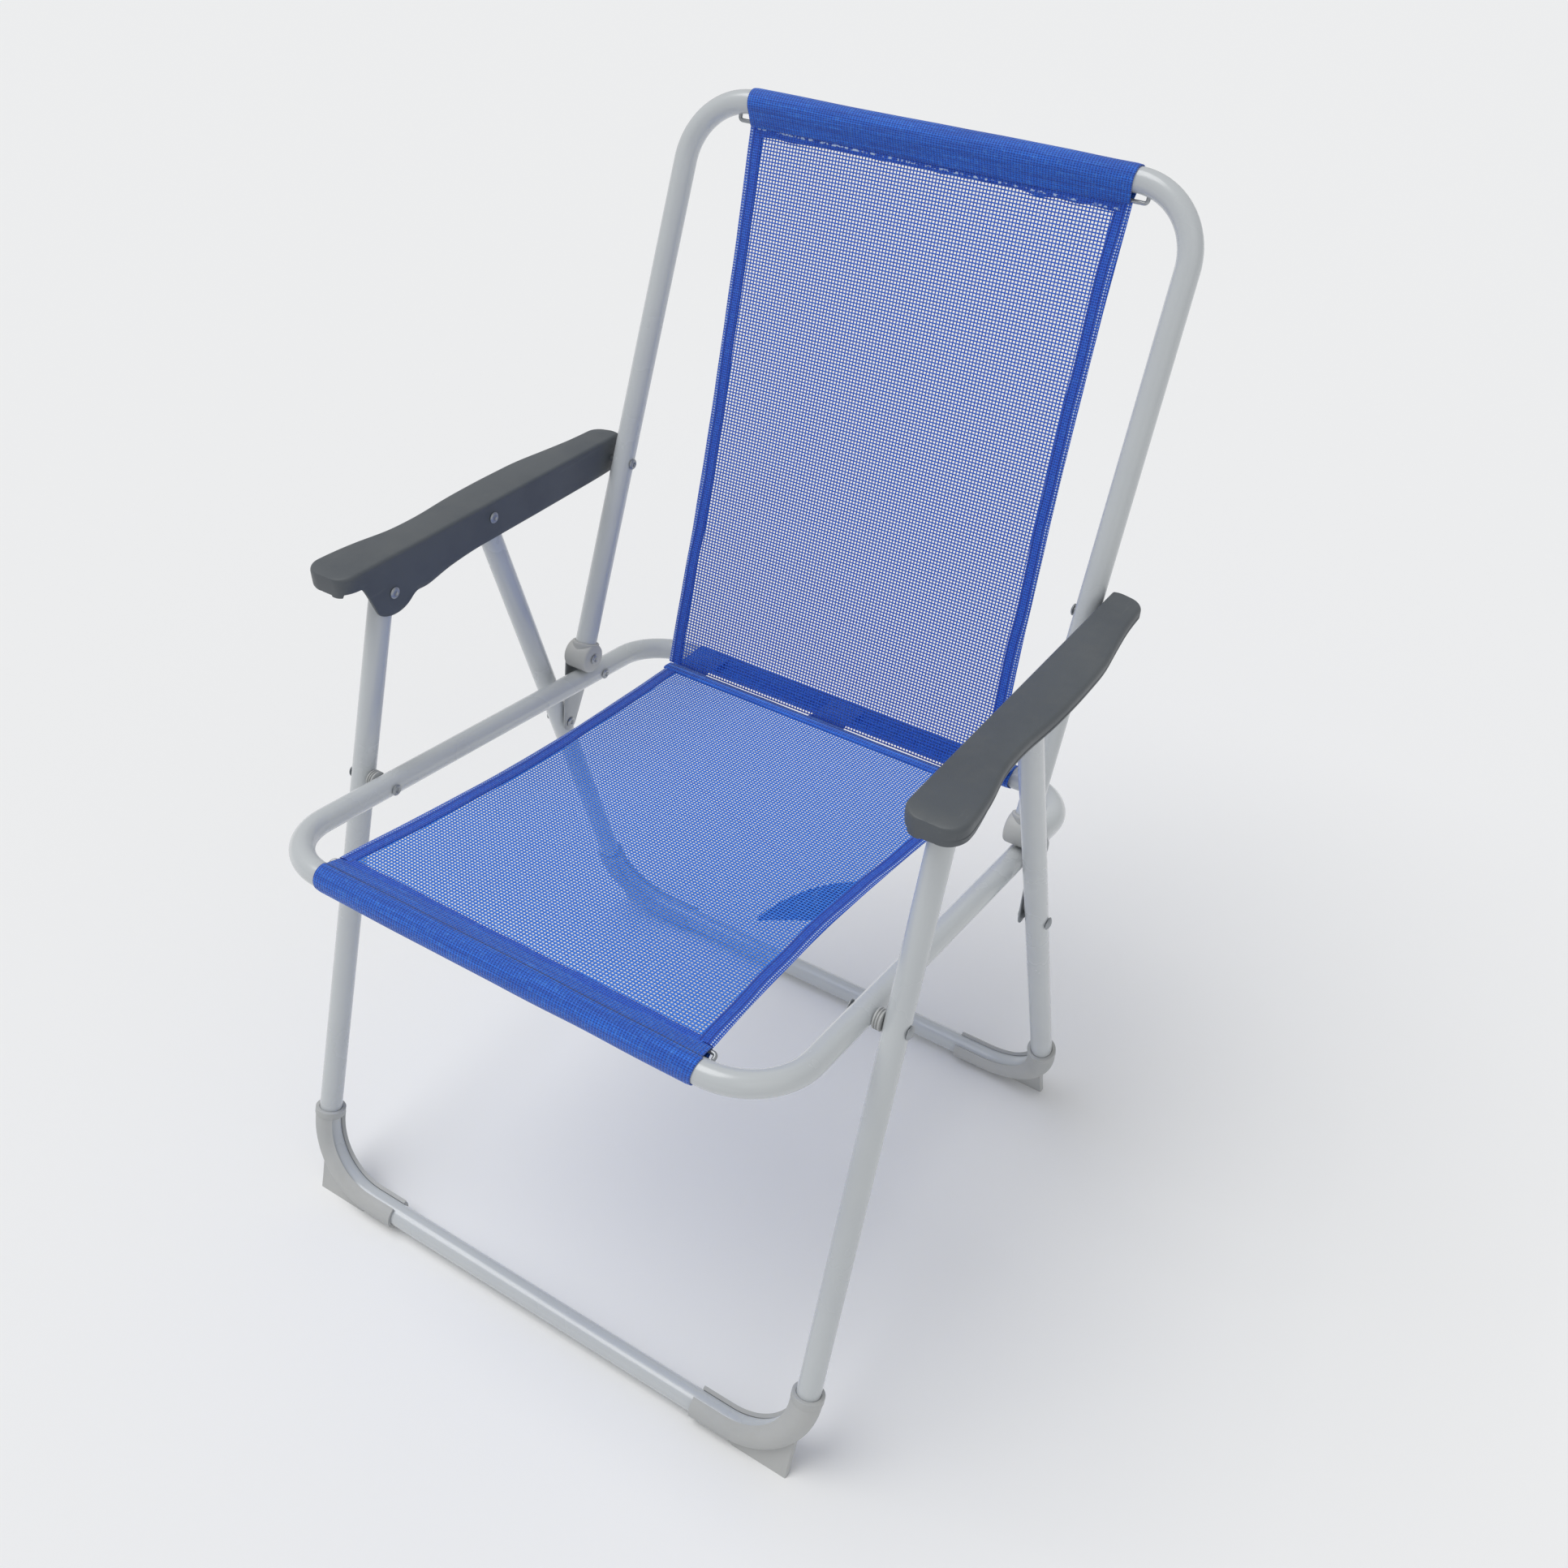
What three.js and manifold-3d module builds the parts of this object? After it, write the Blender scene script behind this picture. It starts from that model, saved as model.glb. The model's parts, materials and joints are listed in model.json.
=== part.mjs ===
// A folding camp chair: four bent round-tube frames, two armrests, two link plates,
// four slotted feet and a mesh sling. Millimetres, +Z up, the chair faces -Y.
// "Left" and "right" are the sitter's, so left is +X. The floor is Z = 0.
import * as THREE from "three";
import { mergeVertices } from "three/addons/utils/BufferGeometryUtils.js";
import Module from "manifold-3d";

const wasm = await Module();
wasm.setup();

// Tube and overall sizes
const tubeDiameter = 19;
const tubeWall = 1;
const railSpacing = 440; // between the centre lines of the seat's side rails, and of the back uprights
const sideGap = 6.7; // between the rails' outer faces and the legs' inner faces
const footSpan = 432.7; // between the centre lines of the two floor tubes
const floorTubeHeight = 14.5;
const backHeight = 803.2; // centre line of the top tube
const backLean = [204.9, 443.5]; // the uprights' slope: back, up
const railFront = [11.1, 396.4]; // centre line of the seat's front bar: back from the front floor tube, up
const railSlope = [463.6, -77.6];
const seatLength = 470; // between the centre lines of the seat's front bar and rear cross tube

// Pivots
const armFront = [179.2, 525.8];
const armMiddle = [294.3, 535.7];
const armRearHeight = 521.8;
const collarPivot = [372.6, 359.7];
const seatRearPivotAlong = 383; // along the seat rail from the front bar
const linkLowerShare = 0.522; // share of the rear leg below the link's lower pivot
const rivetRadius = 2.5;
const rivetClearance = 0.08;

// Bends
const legBend = 60;
const seatFrontBend = 52;
const seatRearBend = 48;
const backBend = 54;
const tubeSides = 14;
const bendSteps = 6;

// Sling
const clothWidth = 332;
const clothThickness = 1.2;
const hemWidth = 12;
const hemThickness = 2.2;
const sleeveClearance = 0.4;
const sleeveThickness = 1.4;
const wireRadius = 1.6;
const wireEndGap = 1.8; // from the tube's surface to the wire's turned-in ends
const wireOffset = 15; // from a held tube's centre line to its wire
const junctionAlong = 414;
const junctionWidth = 12;
const gap = 0.3;

// Plastic and plate
const armWidth = 44;
const armWall = 2.7;
const armSkin = 2.5;
const armRim = 9;
const armNose = 14;
const collarWall = 2.3;
const plateThickness = 2;
const footWall = 2.4;
const footSlot = 70; // degrees
const footRing = 6; // length of the closed ring, above the bend
const footAlongFloor = 28; // past the bend, along the floor tube
const finThickness = 6;
const finInset = 0.8; // from the leg's centre line to the fin's side edge
const finLength = 50;
const finDepth = 30; // drawn below the floor tube's centre line, and cut level with the floor

const tubeRadius = tubeDiameter / 2;
const railX = railSpacing / 2;
const legX = railX + tubeDiameter + sideGap;
const legInner = legX - tubeRadius;
const legOuter = legX + tubeRadius;
const railInner = railX - tubeRadius;
const railOuter = railX + tubeRadius;
const sleeveInner = tubeRadius + sleeveClearance;
const sleeveOuter = sleeveInner + sleeveThickness;
const footRadius = tubeRadius + gap + footWall;
const clothHalf = clothWidth / 2;

// Side view: a point is [y, z], and the whole chair is centred on Y = 0.
const unit = ([a, b]) => [a / Math.hypot(a, b), b / Math.hypot(a, b)];
const minus = (p, q) => [p[0] - q[0], p[1] - q[1]];
const along = (p, d, s) => [p[0] + d[0] * s, p[1] + d[1] * s];
const between = (p, q, share) => along(p, minus(q, p), share);
const crossing = (p, d, q, e) => {
  const w = minus(q, p);
  return along(p, d, (w[0] * e[1] - w[1] * e[0]) / (d[0] * e[1] - d[1] * e[0]));
};
const uprightUp = unit(backLean);
const topAtOrigin = along(collarPivot, uprightUp, (backHeight - collarPivot[1]) / uprightUp[1]);
const depthShift = (topAtOrigin[0] + sleeveOuter - footRadius) / 2;
const placed = ([y, z]) => [y - depthShift, z];

const frontFloor = placed([0, floorTubeHeight]);
const rearFloor = placed([footSpan, floorTubeHeight]);
const armFrontPivot = placed(armFront);
const armMiddlePivot = placed(armMiddle);
const collarCentre = placed(collarPivot);
const topTube = placed(topAtOrigin);
const armRearPivot = along(collarCentre, uprightUp, (armRearHeight - collarPivot[1]) / uprightUp[1]);
const frontBar = placed(railFront);
const railBack = unit(railSlope);
const railNormal = [-railBack[1], railBack[0]];
const rearBar = along(frontBar, railBack, seatLength);
const frontLegUp = unit(minus(armFrontPivot, frontFloor));
const rearLegUp = unit(minus(armMiddlePivot, rearFloor));
const seatFrontPivot = crossing(frontBar, railBack, frontFloor, frontLegUp);
const seatRearPivot = along(frontBar, railBack, seatRearPivotAlong);
const linkLowerPivot = between(rearFloor, armMiddlePivot, linkLowerShare);
const junctionOffset = sleeveOuter - 0.6;
const junctionMiddle = along(frontBar, railBack, junctionAlong + junctionWidth / 2);
const junction = along(junctionMiddle, railNormal, junctionOffset);
const slingDown = unit(minus(junction, topTube));
const slingNormal = [-slingDown[1], slingDown[0]];
const slingLength = Math.hypot(...minus(junction, topTube));

// Materials
const paint = { color: 0xd3d7d9, roughness: 0.35, metalness: 0.1 };
const darkPlastic = { color: 0x54585a, roughness: 0.6, metalness: 0 };
const lightPlastic = { color: 0xc6c9c9, roughness: 0.55, metalness: 0 };
const steel = { color: 0xc8cbcd, roughness: 0.3, metalness: 0.9 };
const cloth = { color: 0x5d86d8, roughness: 0.8, metalness: 0 };
const darkCloth = { color: 0x1f4fb8, roughness: 0.8, metalness: 0 };

const group = new THREE.Group();

function add(name, geometry, look) {
  const mesh = new THREE.Mesh(geometry, new THREE.MeshStandardMaterial(look));
  mesh.name = name;
  group.add(mesh);
}

// Solids
function solid(geometry) {
  const bare = geometry.index ? geometry.toNonIndexed() : geometry.clone();
  bare.deleteAttribute("normal");
  bare.deleteAttribute("uv");
  const merged = mergeVertices(bare, 1e-4);
  return new wasm.Manifold(
    new wasm.Mesh({
      numProp: 3,
      vertProperties: merged.attributes.position.array,
      triVerts: new Uint32Array(merged.index.array),
    }),
  );
}

function geometryOf(manifold) {
  const mesh = manifold.getMesh();
  const geometry = new THREE.BufferGeometry();
  const count = mesh.numProp;
  const points = mesh.vertProperties;
  const positions = new Float32Array((points.length / count) * 3);
  for (let i = 0; i < positions.length / 3; i++) {
    positions.set(points.subarray(i * count, i * count + 3), i * 3);
  }
  geometry.setAttribute("position", new THREE.BufferAttribute(positions, 3));
  geometry.setIndex(new THREE.BufferAttribute(new Uint32Array(mesh.triVerts), 1));
  geometry.computeVertexNormals();
  return geometry;
}

// The other side of the chair: X changes sign and each face is turned round.
function mirrored(geometry) {
  const flipped = (geometry.index ? geometry.toNonIndexed() : geometry.clone()).scale(-1, 1, 1);
  const p = flipped.attributes.position;
  for (let i = 0; i < p.count; i += 3) {
    const b = new THREE.Vector3().fromBufferAttribute(p, i + 1);
    const c = new THREE.Vector3().fromBufferAttribute(p, i + 2);
    p.setXYZ(i + 1, c.x, c.y, c.z);
    p.setXYZ(i + 2, b.x, b.y, b.z);
  }
  flipped.computeVertexNormals();
  return flipped;
}

function addPair(stem, geometry, look) {
  add(`${stem}_left`, geometry, look);
  add(`${stem}_right`, mirrored(geometry), look);
}

// A path with its own stations, so that a straight run is one step and a bend is a few.
class StationPath extends THREE.Curve {
  constructor(points, tangents) {
    super();
    this.points = points;
    this.tangents = tangents;
  }
  getPointAt(u, target = new THREE.Vector3()) {
    return target.copy(this.points[Math.round(u * (this.points.length - 1))]);
  }
  getTangentAt(u, target = new THREE.Vector3()) {
    return target.copy(this.tangents[Math.round(u * (this.points.length - 1))]);
  }
}

// A bent run through the corners, each corner rounded by its own centre-line radius.
function bentPath(corners, radii) {
  const points = [corners[0].clone()];
  const tangents = [corners[1].clone().sub(corners[0]).normalize()];
  for (let i = 1; i < corners.length - 1; i++) {
    const before = corners[i].clone().sub(corners[i - 1]).normalize();
    const after = corners[i + 1].clone().sub(corners[i]).normalize();
    const turn = before.angleTo(after);
    const reach = radii[i - 1] * Math.tan(turn / 2);
    const axis = before.clone().cross(after).normalize();
    const start = corners[i].clone().addScaledVector(before, -reach);
    const centre = start.clone().addScaledVector(axis.clone().cross(before), radii[i - 1]);
    for (let k = 0; k <= bendSteps; k++) {
      const angle = (turn * k) / bendSteps;
      points.push(start.clone().sub(centre).applyAxisAngle(axis, angle).add(centre));
      tangents.push(before.clone().applyAxisAngle(axis, angle));
    }
  }
  const last = corners.length - 1;
  points.push(corners[last].clone());
  tangents.push(corners[last].clone().sub(corners[last - 1]).normalize());
  return new StationPath(points, tangents);
}

function sweep(shape, path) {
  const options = { steps: path.points.length - 1, extrudePath: path, curveSegments: tubeSides };
  return new THREE.ExtrudeGeometry(shape, options);
}

function polygon(points) {
  return new THREE.Shape(points.map(([a, b]) => new THREE.Vector2(a, b)));
}

function circlePoints(radius, sides, centre = [0, 0]) {
  const spots = [];
  for (let i = 0; i < sides; i++) {
    const angle = (2 * Math.PI * (i + 0.5)) / sides;
    spots.push([centre[0] + radius * Math.cos(angle), centre[1] + radius * Math.sin(angle)]);
  }
  return spots;
}

function ringShape(outer, inner) {
  const shape = polygon(circlePoints(outer, tubeSides));
  shape.holes.push(new THREE.Path(circlePoints(inner, tubeSides).map(([a, b]) => new THREE.Vector2(a, b))));
  return shape;
}

const tubeSection = ringShape(tubeRadius, tubeRadius - tubeWall);

// A side-view outline given as [y, z] points, pushed along X between two places.
function slab(outline, fromX, toX, holes = []) {
  const shape = polygon(outline);
  holes.forEach((hole) => shape.holes.push(new THREE.Path(hole.map(([a, b]) => new THREE.Vector2(a, b)))));
  const geometry = new THREE.ExtrudeGeometry(shape, { depth: toX - fromX, bevelEnabled: false, steps: 1 });
  // shape x, y, depth become Y, Z, X
  geometry.applyMatrix4(new THREE.Matrix4().set(0, 0, 1, fromX, 1, 0, 0, 0, 0, 1, 0, 0, 0, 0, 0, 1));
  return geometry;
}

function discAcross(centre, radius, fromX, toX, sides = 16) {
  return slab(circlePoints(radius, sides, centre), fromX, toX);
}

// A turned fastener whose axis is X: the profile is [distance along X, radius].
function turned(profile, centre, sides = 16) {
  const geometry = new THREE.LatheGeometry(
    profile.map(([x, r]) => new THREE.Vector2(r, x)),
    sides,
    Math.PI / sides,
  );
  geometry.applyMatrix4(
    new THREE.Matrix4().set(
      0, 1, 0, 0,
      0, 0, 1, centre[0],
      1, 0, 0, centre[1],
      0, 0, 0, 1,
    ),
  );
  return geometry;
}

// Holes across a tube for its rivets, on both sides of the chair.
function drilled(body, pivots, halfWidth) {
  let result = body;
  const radius = rivetRadius + rivetClearance;
  for (const pivot of pivots) {
    for (const side of [-1, 1]) {
      const fromX = side * halfWidth - tubeDiameter;
      result = result.subtract(solid(discAcross(pivot, radius, fromX, fromX + 2 * tubeDiameter)));
    }
  }
  return result;
}

// A half-round end about a pivot: what lies past the pivot and outside the tube's radius is cut off.
function roundEnd(body, pivot, direction, halfWidth) {
  const across = [-direction[1], direction[0]];
  const reach = tubeDiameter;
  const corner = (a, b) => along(along(pivot, direction, a), across, b);
  let result = body;
  for (const side of [-1, 1]) {
    const fromX = side * halfWidth - tubeDiameter;
    const toX = fromX + 2 * tubeDiameter;
    const cut = [corner(0, reach), corner(0, -reach), corner(reach, -reach), corner(reach, reach)];
    const block = slab(cut, fromX, toX);
    const keep = discAcross(pivot, tubeRadius, fromX - 1, toX + 1, 36);
    result = result.subtract(solid(block).subtract(solid(keep)));
  }
  return result;
}

const at = (x, [y, z]) => new THREE.Vector3(x, y, z);

// A U of tube: up one side, across, and down the other.
function uFrame(halfWidth, end, cross, bend) {
  return bentPath(
    [at(-halfWidth, end), at(-halfWidth, cross), at(halfWidth, cross), at(halfWidth, end)],
    [bend, bend],
  );
}

function legFrame(cross, top, up, otherPivot) {
  const end = along(top, up, tubeRadius + 0.5);
  const tube = roundEnd(solid(sweep(tubeSection, uFrame(legX, end, cross, legBend))), top, up, legX);
  return geometryOf(drilled(tube, [top, otherPivot], legX));
}

add("front_leg_frame", legFrame(frontFloor, armFrontPivot, frontLegUp, seatFrontPivot), paint);
add("rear_leg_frame", legFrame(rearFloor, armMiddlePivot, rearLegUp, linkLowerPivot), paint);

// Back frame: its tube ends just below the collar pivot.
const tubeEndBelowPivot = 6;
const uprightEnd = along(collarCentre, uprightUp, -tubeEndBelowPivot);
const backTube = solid(sweep(tubeSection, uFrame(railX, uprightEnd, topTube, backBend)));
add("back_frame", geometryOf(drilled(backTube, [armRearPivot, collarCentre], railX)), paint);

// Seat frame: a loop that is butted at the middle of its rear cross tube.
const buttGap = 0.3;
const seatPath = bentPath(
  [
    at(buttGap / 2, rearBar),
    at(railX, rearBar),
    at(railX, frontBar),
    at(-railX, frontBar),
    at(-railX, rearBar),
    at(-buttGap / 2, rearBar),
  ],
  [seatRearBend, seatFrontBend, seatFrontBend, seatRearBend],
);
const seatTube = solid(sweep(tubeSection, seatPath));
add("seat_frame", geometryOf(drilled(seatTube, [seatFrontPivot, seatRearPivot], railX)), paint);

// Collars: a sleeve on the upright with a half-round foot that rests on the rail.
const collarFoot = 13.4;
const collarHalf = tubeRadius + gap + collarWall;
const collarTop = 13;
function straight(section, from, to, x) {
  const way = at(0, unit(minus(to, from)));
  return sweep(section, new StationPath([at(x, from), at(x, to)], [way, way]));
}
const disc = (radius) => polygon(circlePoints(radius, tubeSides));
const collarEnd = along(collarCentre, uprightUp, collarTop);
const collarSleeve = straight(disc(collarHalf), collarCentre, collarEnd, railX);
const collarBase = discAcross(collarCentre, collarFoot, railX - collarHalf, railX + collarHalf, 28);
const collarBore = straight(
  disc(tubeRadius + gap),
  along(collarCentre, uprightUp, -tubeEndBelowPivot - gap),
  along(collarCentre, uprightUp, collarTop + tubeDiameter),
  railX,
);
const collarHole = discAcross(
  collarCentre,
  rivetRadius + rivetClearance,
  railX - tubeDiameter,
  railX + tubeDiameter,
);
const collar = solid(collarSleeve)
  .add(solid(collarBase))
  .subtract(solid(collarBore))
  .subtract(solid(collarHole));
addPair("collar", geometryOf(collar), lightPlastic);

// Link plates: a rounded triangle about its three pivots.
const plateEdge = 8.5;
const plateFrom = railOuter + (sideGap - plateThickness) / 2 + 0.4;
const plateTo = plateFrom + plateThickness;
function roundedTriangle(centres, radius) {
  const spots = [];
  for (let i = 0; i < 3; i++) {
    const here = centres[i];
    const next = centres[(i + 1) % 3];
    const last = centres[(i + 2) % 3];
    const outward = (p, q) => Math.atan2(p[0] - q[0], q[1] - p[1]);
    const start = outward(last, here);
    let sweepAngle = outward(here, next) - start;
    while (sweepAngle < 0) sweepAngle += 2 * Math.PI;
    for (let k = 0; k <= 6; k++) {
      const angle = start + (sweepAngle * k) / 6;
      spots.push([here[0] + radius * Math.cos(angle), here[1] + radius * Math.sin(angle)]);
    }
  }
  return spots;
}
const pinHole = (pivot) => circlePoints(rivetRadius + rivetClearance, 16, pivot);
const linkPlate = slab(
  roundedTriangle([collarCentre, linkLowerPivot, seatRearPivot], plateEdge),
  plateFrom,
  plateTo,
  [pinHole(collarCentre), pinHole(linkLowerPivot), pinHole(seatRearPivot)],
);
addPair("link_plate", linkPlate, steel);

// Spacer bushings on the seat's front rivets.
const bushingRadius = 8;
const bushing = slab(
  circlePoints(bushingRadius, 20, seatFrontPivot),
  railOuter + gap,
  legInner - gap,
  [pinHole(seatFrontPivot)],
);
addPair("spacer_bushing", bushing, lightPlastic);

// Armrests
const armInnerX = railOuter + 3.5;
const armFrontY = armFrontPivot[0] - 46;
const armBackY = armRearPivot[0] + 12.5;
const armTopFront = [armFrontY, armFrontPivot[1] + 33.2];
const armSlope = [1, -0.0588];
const armTopAt = (y) => armTopFront[1] + (y - armFrontY) * armSlope[1];

// The top seen from above: straight on the seat's side, waisted on the outer side.
function armOutline(inset) {
  const inner = armInnerX + inset;
  const outer = (share) => armInnerX + armWidth * share - inset;
  const front = armFrontY + inset;
  const back = armBackY - inset;
  const shape = new THREE.Shape();
  shape.moveTo(inner, front + 20);
  shape.quadraticCurveTo(inner + 1, front + 4, inner + 14, front + 1);
  shape.quadraticCurveTo(inner + 22, front, outer(1) - 14, front + 1);
  shape.quadraticCurveTo(outer(1), front + 4, outer(1), front + 22);
  shape.bezierCurveTo(outer(1) - 1, front + 52, outer(0.76), front + 58, outer(0.78), front + 84);
  shape.bezierCurveTo(outer(0.8), front + 118, outer(0.92), front + 140, outer(0.9), front + 176);
  shape.bezierCurveTo(outer(0.88), front + 225, outer(0.7), front + 262, outer(0.66), back - 14);
  shape.quadraticCurveTo(outer(0.65), back, outer(0.65) - 12, back);
  shape.lineTo(inner, back);
  return shape;
}

// A block under an outline from above, between two depths below the sloping top.
function armBlock(inset, from, to) {
  const options = { depth: to - from, bevelEnabled: false, curveSegments: 5 };
  const geometry = new THREE.ExtrudeGeometry(armOutline(inset), options);
  const shear = new THREE.Matrix4().set(
    1, 0, 0, 0,
    0, 1, 0, 0,
    0, armSlope[1], 1, armTopFront[1] - to - armFrontY * armSlope[1],
    0, 0, 0, 1,
  );
  return geometry.applyMatrix4(shear);
}

// The inner wall seen from the side, with the lobe round the front rivet.
function wallOutline() {
  const lobe = 16.5;
  const spots = [];
  const under = (y, depth) => [y, armTopAt(y) - depth];
  spots.push(under(armFrontY + 12, armSkin / 2));
  spots.push(under(armFrontY + 12, armNose - 2));
  for (let k = 0; k <= 8; k++) {
    const angle = Math.PI * (1.02 + (k / 8) * 0.62);
    const y = armFrontPivot[0] + lobe * 1.35 * Math.cos(angle);
    spots.push([y, armFrontPivot[1] + lobe * Math.sin(angle)]);
  }
  spots.push([armFrontPivot[0] + 32, armFrontPivot[1] - 11]);
  spots.push([armFrontPivot[0] + 52, armFrontPivot[1] - 4.5]);
  spots.push([armFrontPivot[0] + 75, armFrontPivot[1] - 2]);
  spots.push([armFrontPivot[0] + 125, armFrontPivot[1] - 3.5]);
  spots.push([armRearPivot[0] - 18, armRearPivot[1] - 8.6]);
  spots.push([armRearPivot[0], armRearPivot[1] - 10.4]);
  spots.push([armRearPivot[0] + 10, armRearPivot[1] - 8]);
  spots.push([armBackY, armRearPivot[1]]);
  spots.push(under(armBackY, armSkin / 2));
  return spots;
}

const armTopSkin = solid(armBlock(0, 0, armSkin));
const armRimInside = solid(armBlock(armWall, 0, armRim + 1));
const armRimRing = solid(armBlock(0, armSkin / 2, armRim)).subtract(armRimInside);
const noseLength = 24;
const noseBox = slab(
  [
    [armFrontY - 5, armTopFront[1] - 40],
    [armFrontY + noseLength, armTopFront[1] - 40],
    [armFrontY + noseLength, armTopFront[1] + 10],
    [armFrontY - 5, armTopFront[1] + 10],
  ],
  armInnerX - 5,
  armInnerX + armWidth + 5,
);
const armNoseRing = solid(armBlock(0, armSkin / 2, armNose))
  .subtract(solid(armBlock(armWall, 0, armNose + 1)))
  .intersect(solid(noseBox));
const armWallSlab = solid(
  slab(wallOutline(), armInnerX, armInnerX + armWall, [
    pinHole(armFrontPivot),
    pinHole(armMiddlePivot),
    pinHole(armRearPivot),
  ]),
);
addPair("armrest", geometryOf(armTopSkin.add(armRimRing).add(armNoseRing).add(armWallSlab)), darkPlastic);

// Feet: a slotted sleeve round each bend, a closed ring at the leg end and a corner fin.
function footGeometry(cross, up) {
  const legPoint = (x, rise) => at(x, along(cross, up, rise));
  const floorEndX = legX - legBend - footAlongFloor;
  const path = bentPath(
    [legPoint(legX, legBend + footRing), legPoint(legX, 0), legPoint(floorEndX, 0)],
    [legBend],
  );
  const half = (footSlot / 2) * (Math.PI / 180);
  const inner = tubeRadius + gap;
  const section = [];
  const steps = 12;
  for (let i = 0; i <= steps; i++) {
    const angle = half + ((2 * Math.PI - 2 * half) * i) / steps;
    section.push([footRadius * Math.cos(angle), footRadius * Math.sin(angle)]);
  }
  for (let i = steps; i >= 0; i--) {
    const angle = half + ((2 * Math.PI - 2 * half) * i) / steps;
    section.push([inner * Math.cos(angle), inner * Math.sin(angle)]);
  }
  const sleeve = solid(sweep(polygon(section), path));
  const ringSection = ringShape(footRadius, inner);
  const ringPath = new StationPath(
    [legPoint(legX, legBend + footRing), legPoint(legX, legBend)],
    [at(0, [-up[0], -up[1]]), at(0, [-up[0], -up[1]])],
  );
  const ring = solid(sweep(ringSection, ringPath));
  // fin, drawn in the frame's own plane as [x, rise] and cut level with the floor
  const finOutline = [
    [legX - finInset, -finDepth],
    [legX - finInset - finLength, -finDepth],
    [legX - finInset - finLength - 1, -tubeRadius - gap - footWall],
  ];
  const radius = legBend + inner + footWall / 2;
  const finTop = Math.acos((legBend - finInset) / radius);
  for (let k = 0; k <= 8; k++) {
    const angle = -Math.PI / 2 + (k / 8) * (Math.PI / 2 - finTop);
    finOutline.push([legX - legBend + radius * Math.cos(angle), legBend + radius * Math.sin(angle)]);
  }
  const finShape = new THREE.ExtrudeGeometry(polygon(finOutline), {
    depth: finThickness,
    bevelEnabled: false,
  });
  finShape.translate(0, 0, -finThickness / 2);
  // x, rise, depth become X, along the leg, across the leg
  finShape.applyMatrix4(
    new THREE.Matrix4().set(
      1, 0, 0, 0,
      0, up[0], -up[1], cross[0],
      0, up[1], up[0], cross[1],
      0, 0, 0, 1,
    ),
  );
  const below = new THREE.BoxGeometry(400, 400, 100);
  below.translate(legX, cross[0], -50);
  return geometryOf(sleeve.add(ring).add(solid(finShape)).subtract(solid(below)));
}
addPair("front_foot", footGeometry(frontFloor, frontLegUp), lightPlastic);
addPair("rear_foot", footGeometry(rearFloor, rearLegUp), lightPlastic);

// Fasteners. A rivet has a domed head, a shank and a flat head, and its axis is X.
const headHeight = 2;
const headRadius = 4.6;
const tailHeight = 1.2;
const tailRadius = 4.2;
function rivet(pivot, fromX, toX, options = {}) {
  const { head = headHeight, tail = tailHeight } = options;
  const dome = [
    [fromX - head, 0],
    [fromX - head * 0.8, headRadius * 0.6],
    [fromX, headRadius],
    [fromX, rivetRadius],
    [toX, rivetRadius],
  ];
  if (tail > 0) dome.push([toX, tailRadius], [toX + tail, tailRadius * 0.94]);
  dome.push([toX + tail, 0]);
  return turned(dome, pivot);
}
const armWallOuter = armInnerX + armWall;
addPair("armrest_front_rivet", rivet(armFrontPivot, armInnerX - gap, legOuter + gap), steel);
addPair("armrest_middle_rivet", rivet(armMiddlePivot, armInnerX - gap, legOuter + gap), steel);
addPair("armrest_rear_rivet", rivet(armRearPivot, railInner - gap, armWallOuter + gap), steel);
addPair("seat_front_rivet", rivet(seatFrontPivot, railInner - gap, legInner - 2 * gap, { tail: 0 }), steel);
addPair("seat_rear_rivet", rivet(seatRearPivot, railInner - gap, plateTo + gap, { tail: 0.9 }), steel);
addPair("collar_screw", rivet(collarCentre, railX - collarHalf - gap, plateTo + gap, { tail: 0.9 }), steel);
const studEnds = { head: 1.6, tail: 0.9 };
addPair("link_stud", rivet(linkLowerPivot, plateFrom - gap, plateTo + gap, studEnds), steel);

// Outer rivets of the legs at the two pivots: the dome faces outwards.
function outerRivet(pivot) {
  const outX = legOuter + gap;
  const inX = legInner + 0.4;
  const profile = [
    [inX, 0],
    [inX, rivetRadius],
    [outX, rivetRadius],
    [outX, headRadius * 1.15],
    [outX + headHeight * 0.7, headRadius * 0.95],
    [outX + headHeight * 1.2, headRadius * 0.5],
    [outX + headHeight * 1.3, 0],
  ];
  return turned(profile, pivot);
}
addPair("front_leg_rivet", outerRivet(seatFrontPivot), steel);
addPair("rear_leg_rivet", outerRivet(linkLowerPivot), steel);

// Retaining wires: straight, with both ends turned in to the tube.
function wireGeometry(tubeCentre, toWire) {
  const wireCentre = along(tubeCentre, toWire, wireOffset);
  const wireEnd = along(tubeCentre, toWire, tubeRadius + wireEndGap);
  const reach = clothHalf + 6;
  const path = bentPath(
    [at(-reach, wireEnd), at(-reach, wireCentre), at(reach, wireCentre), at(reach, wireEnd)],
    [2.6, 2.6],
  );
  return sweep(polygon(circlePoints(wireRadius, 8)), path);
}
const seatWireRise = 0.42; // the seat wire lies above the rails' line: rise for each unit along it
const seatWireWay = unit([
  railBack[0] + railNormal[0] * seatWireRise,
  railBack[1] + railNormal[1] * seatWireRise,
]);
add("back_wire", wireGeometry(topTube, slingDown), steel);
add("seat_wire", wireGeometry(frontBar, seatWireWay), steel);

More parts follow.
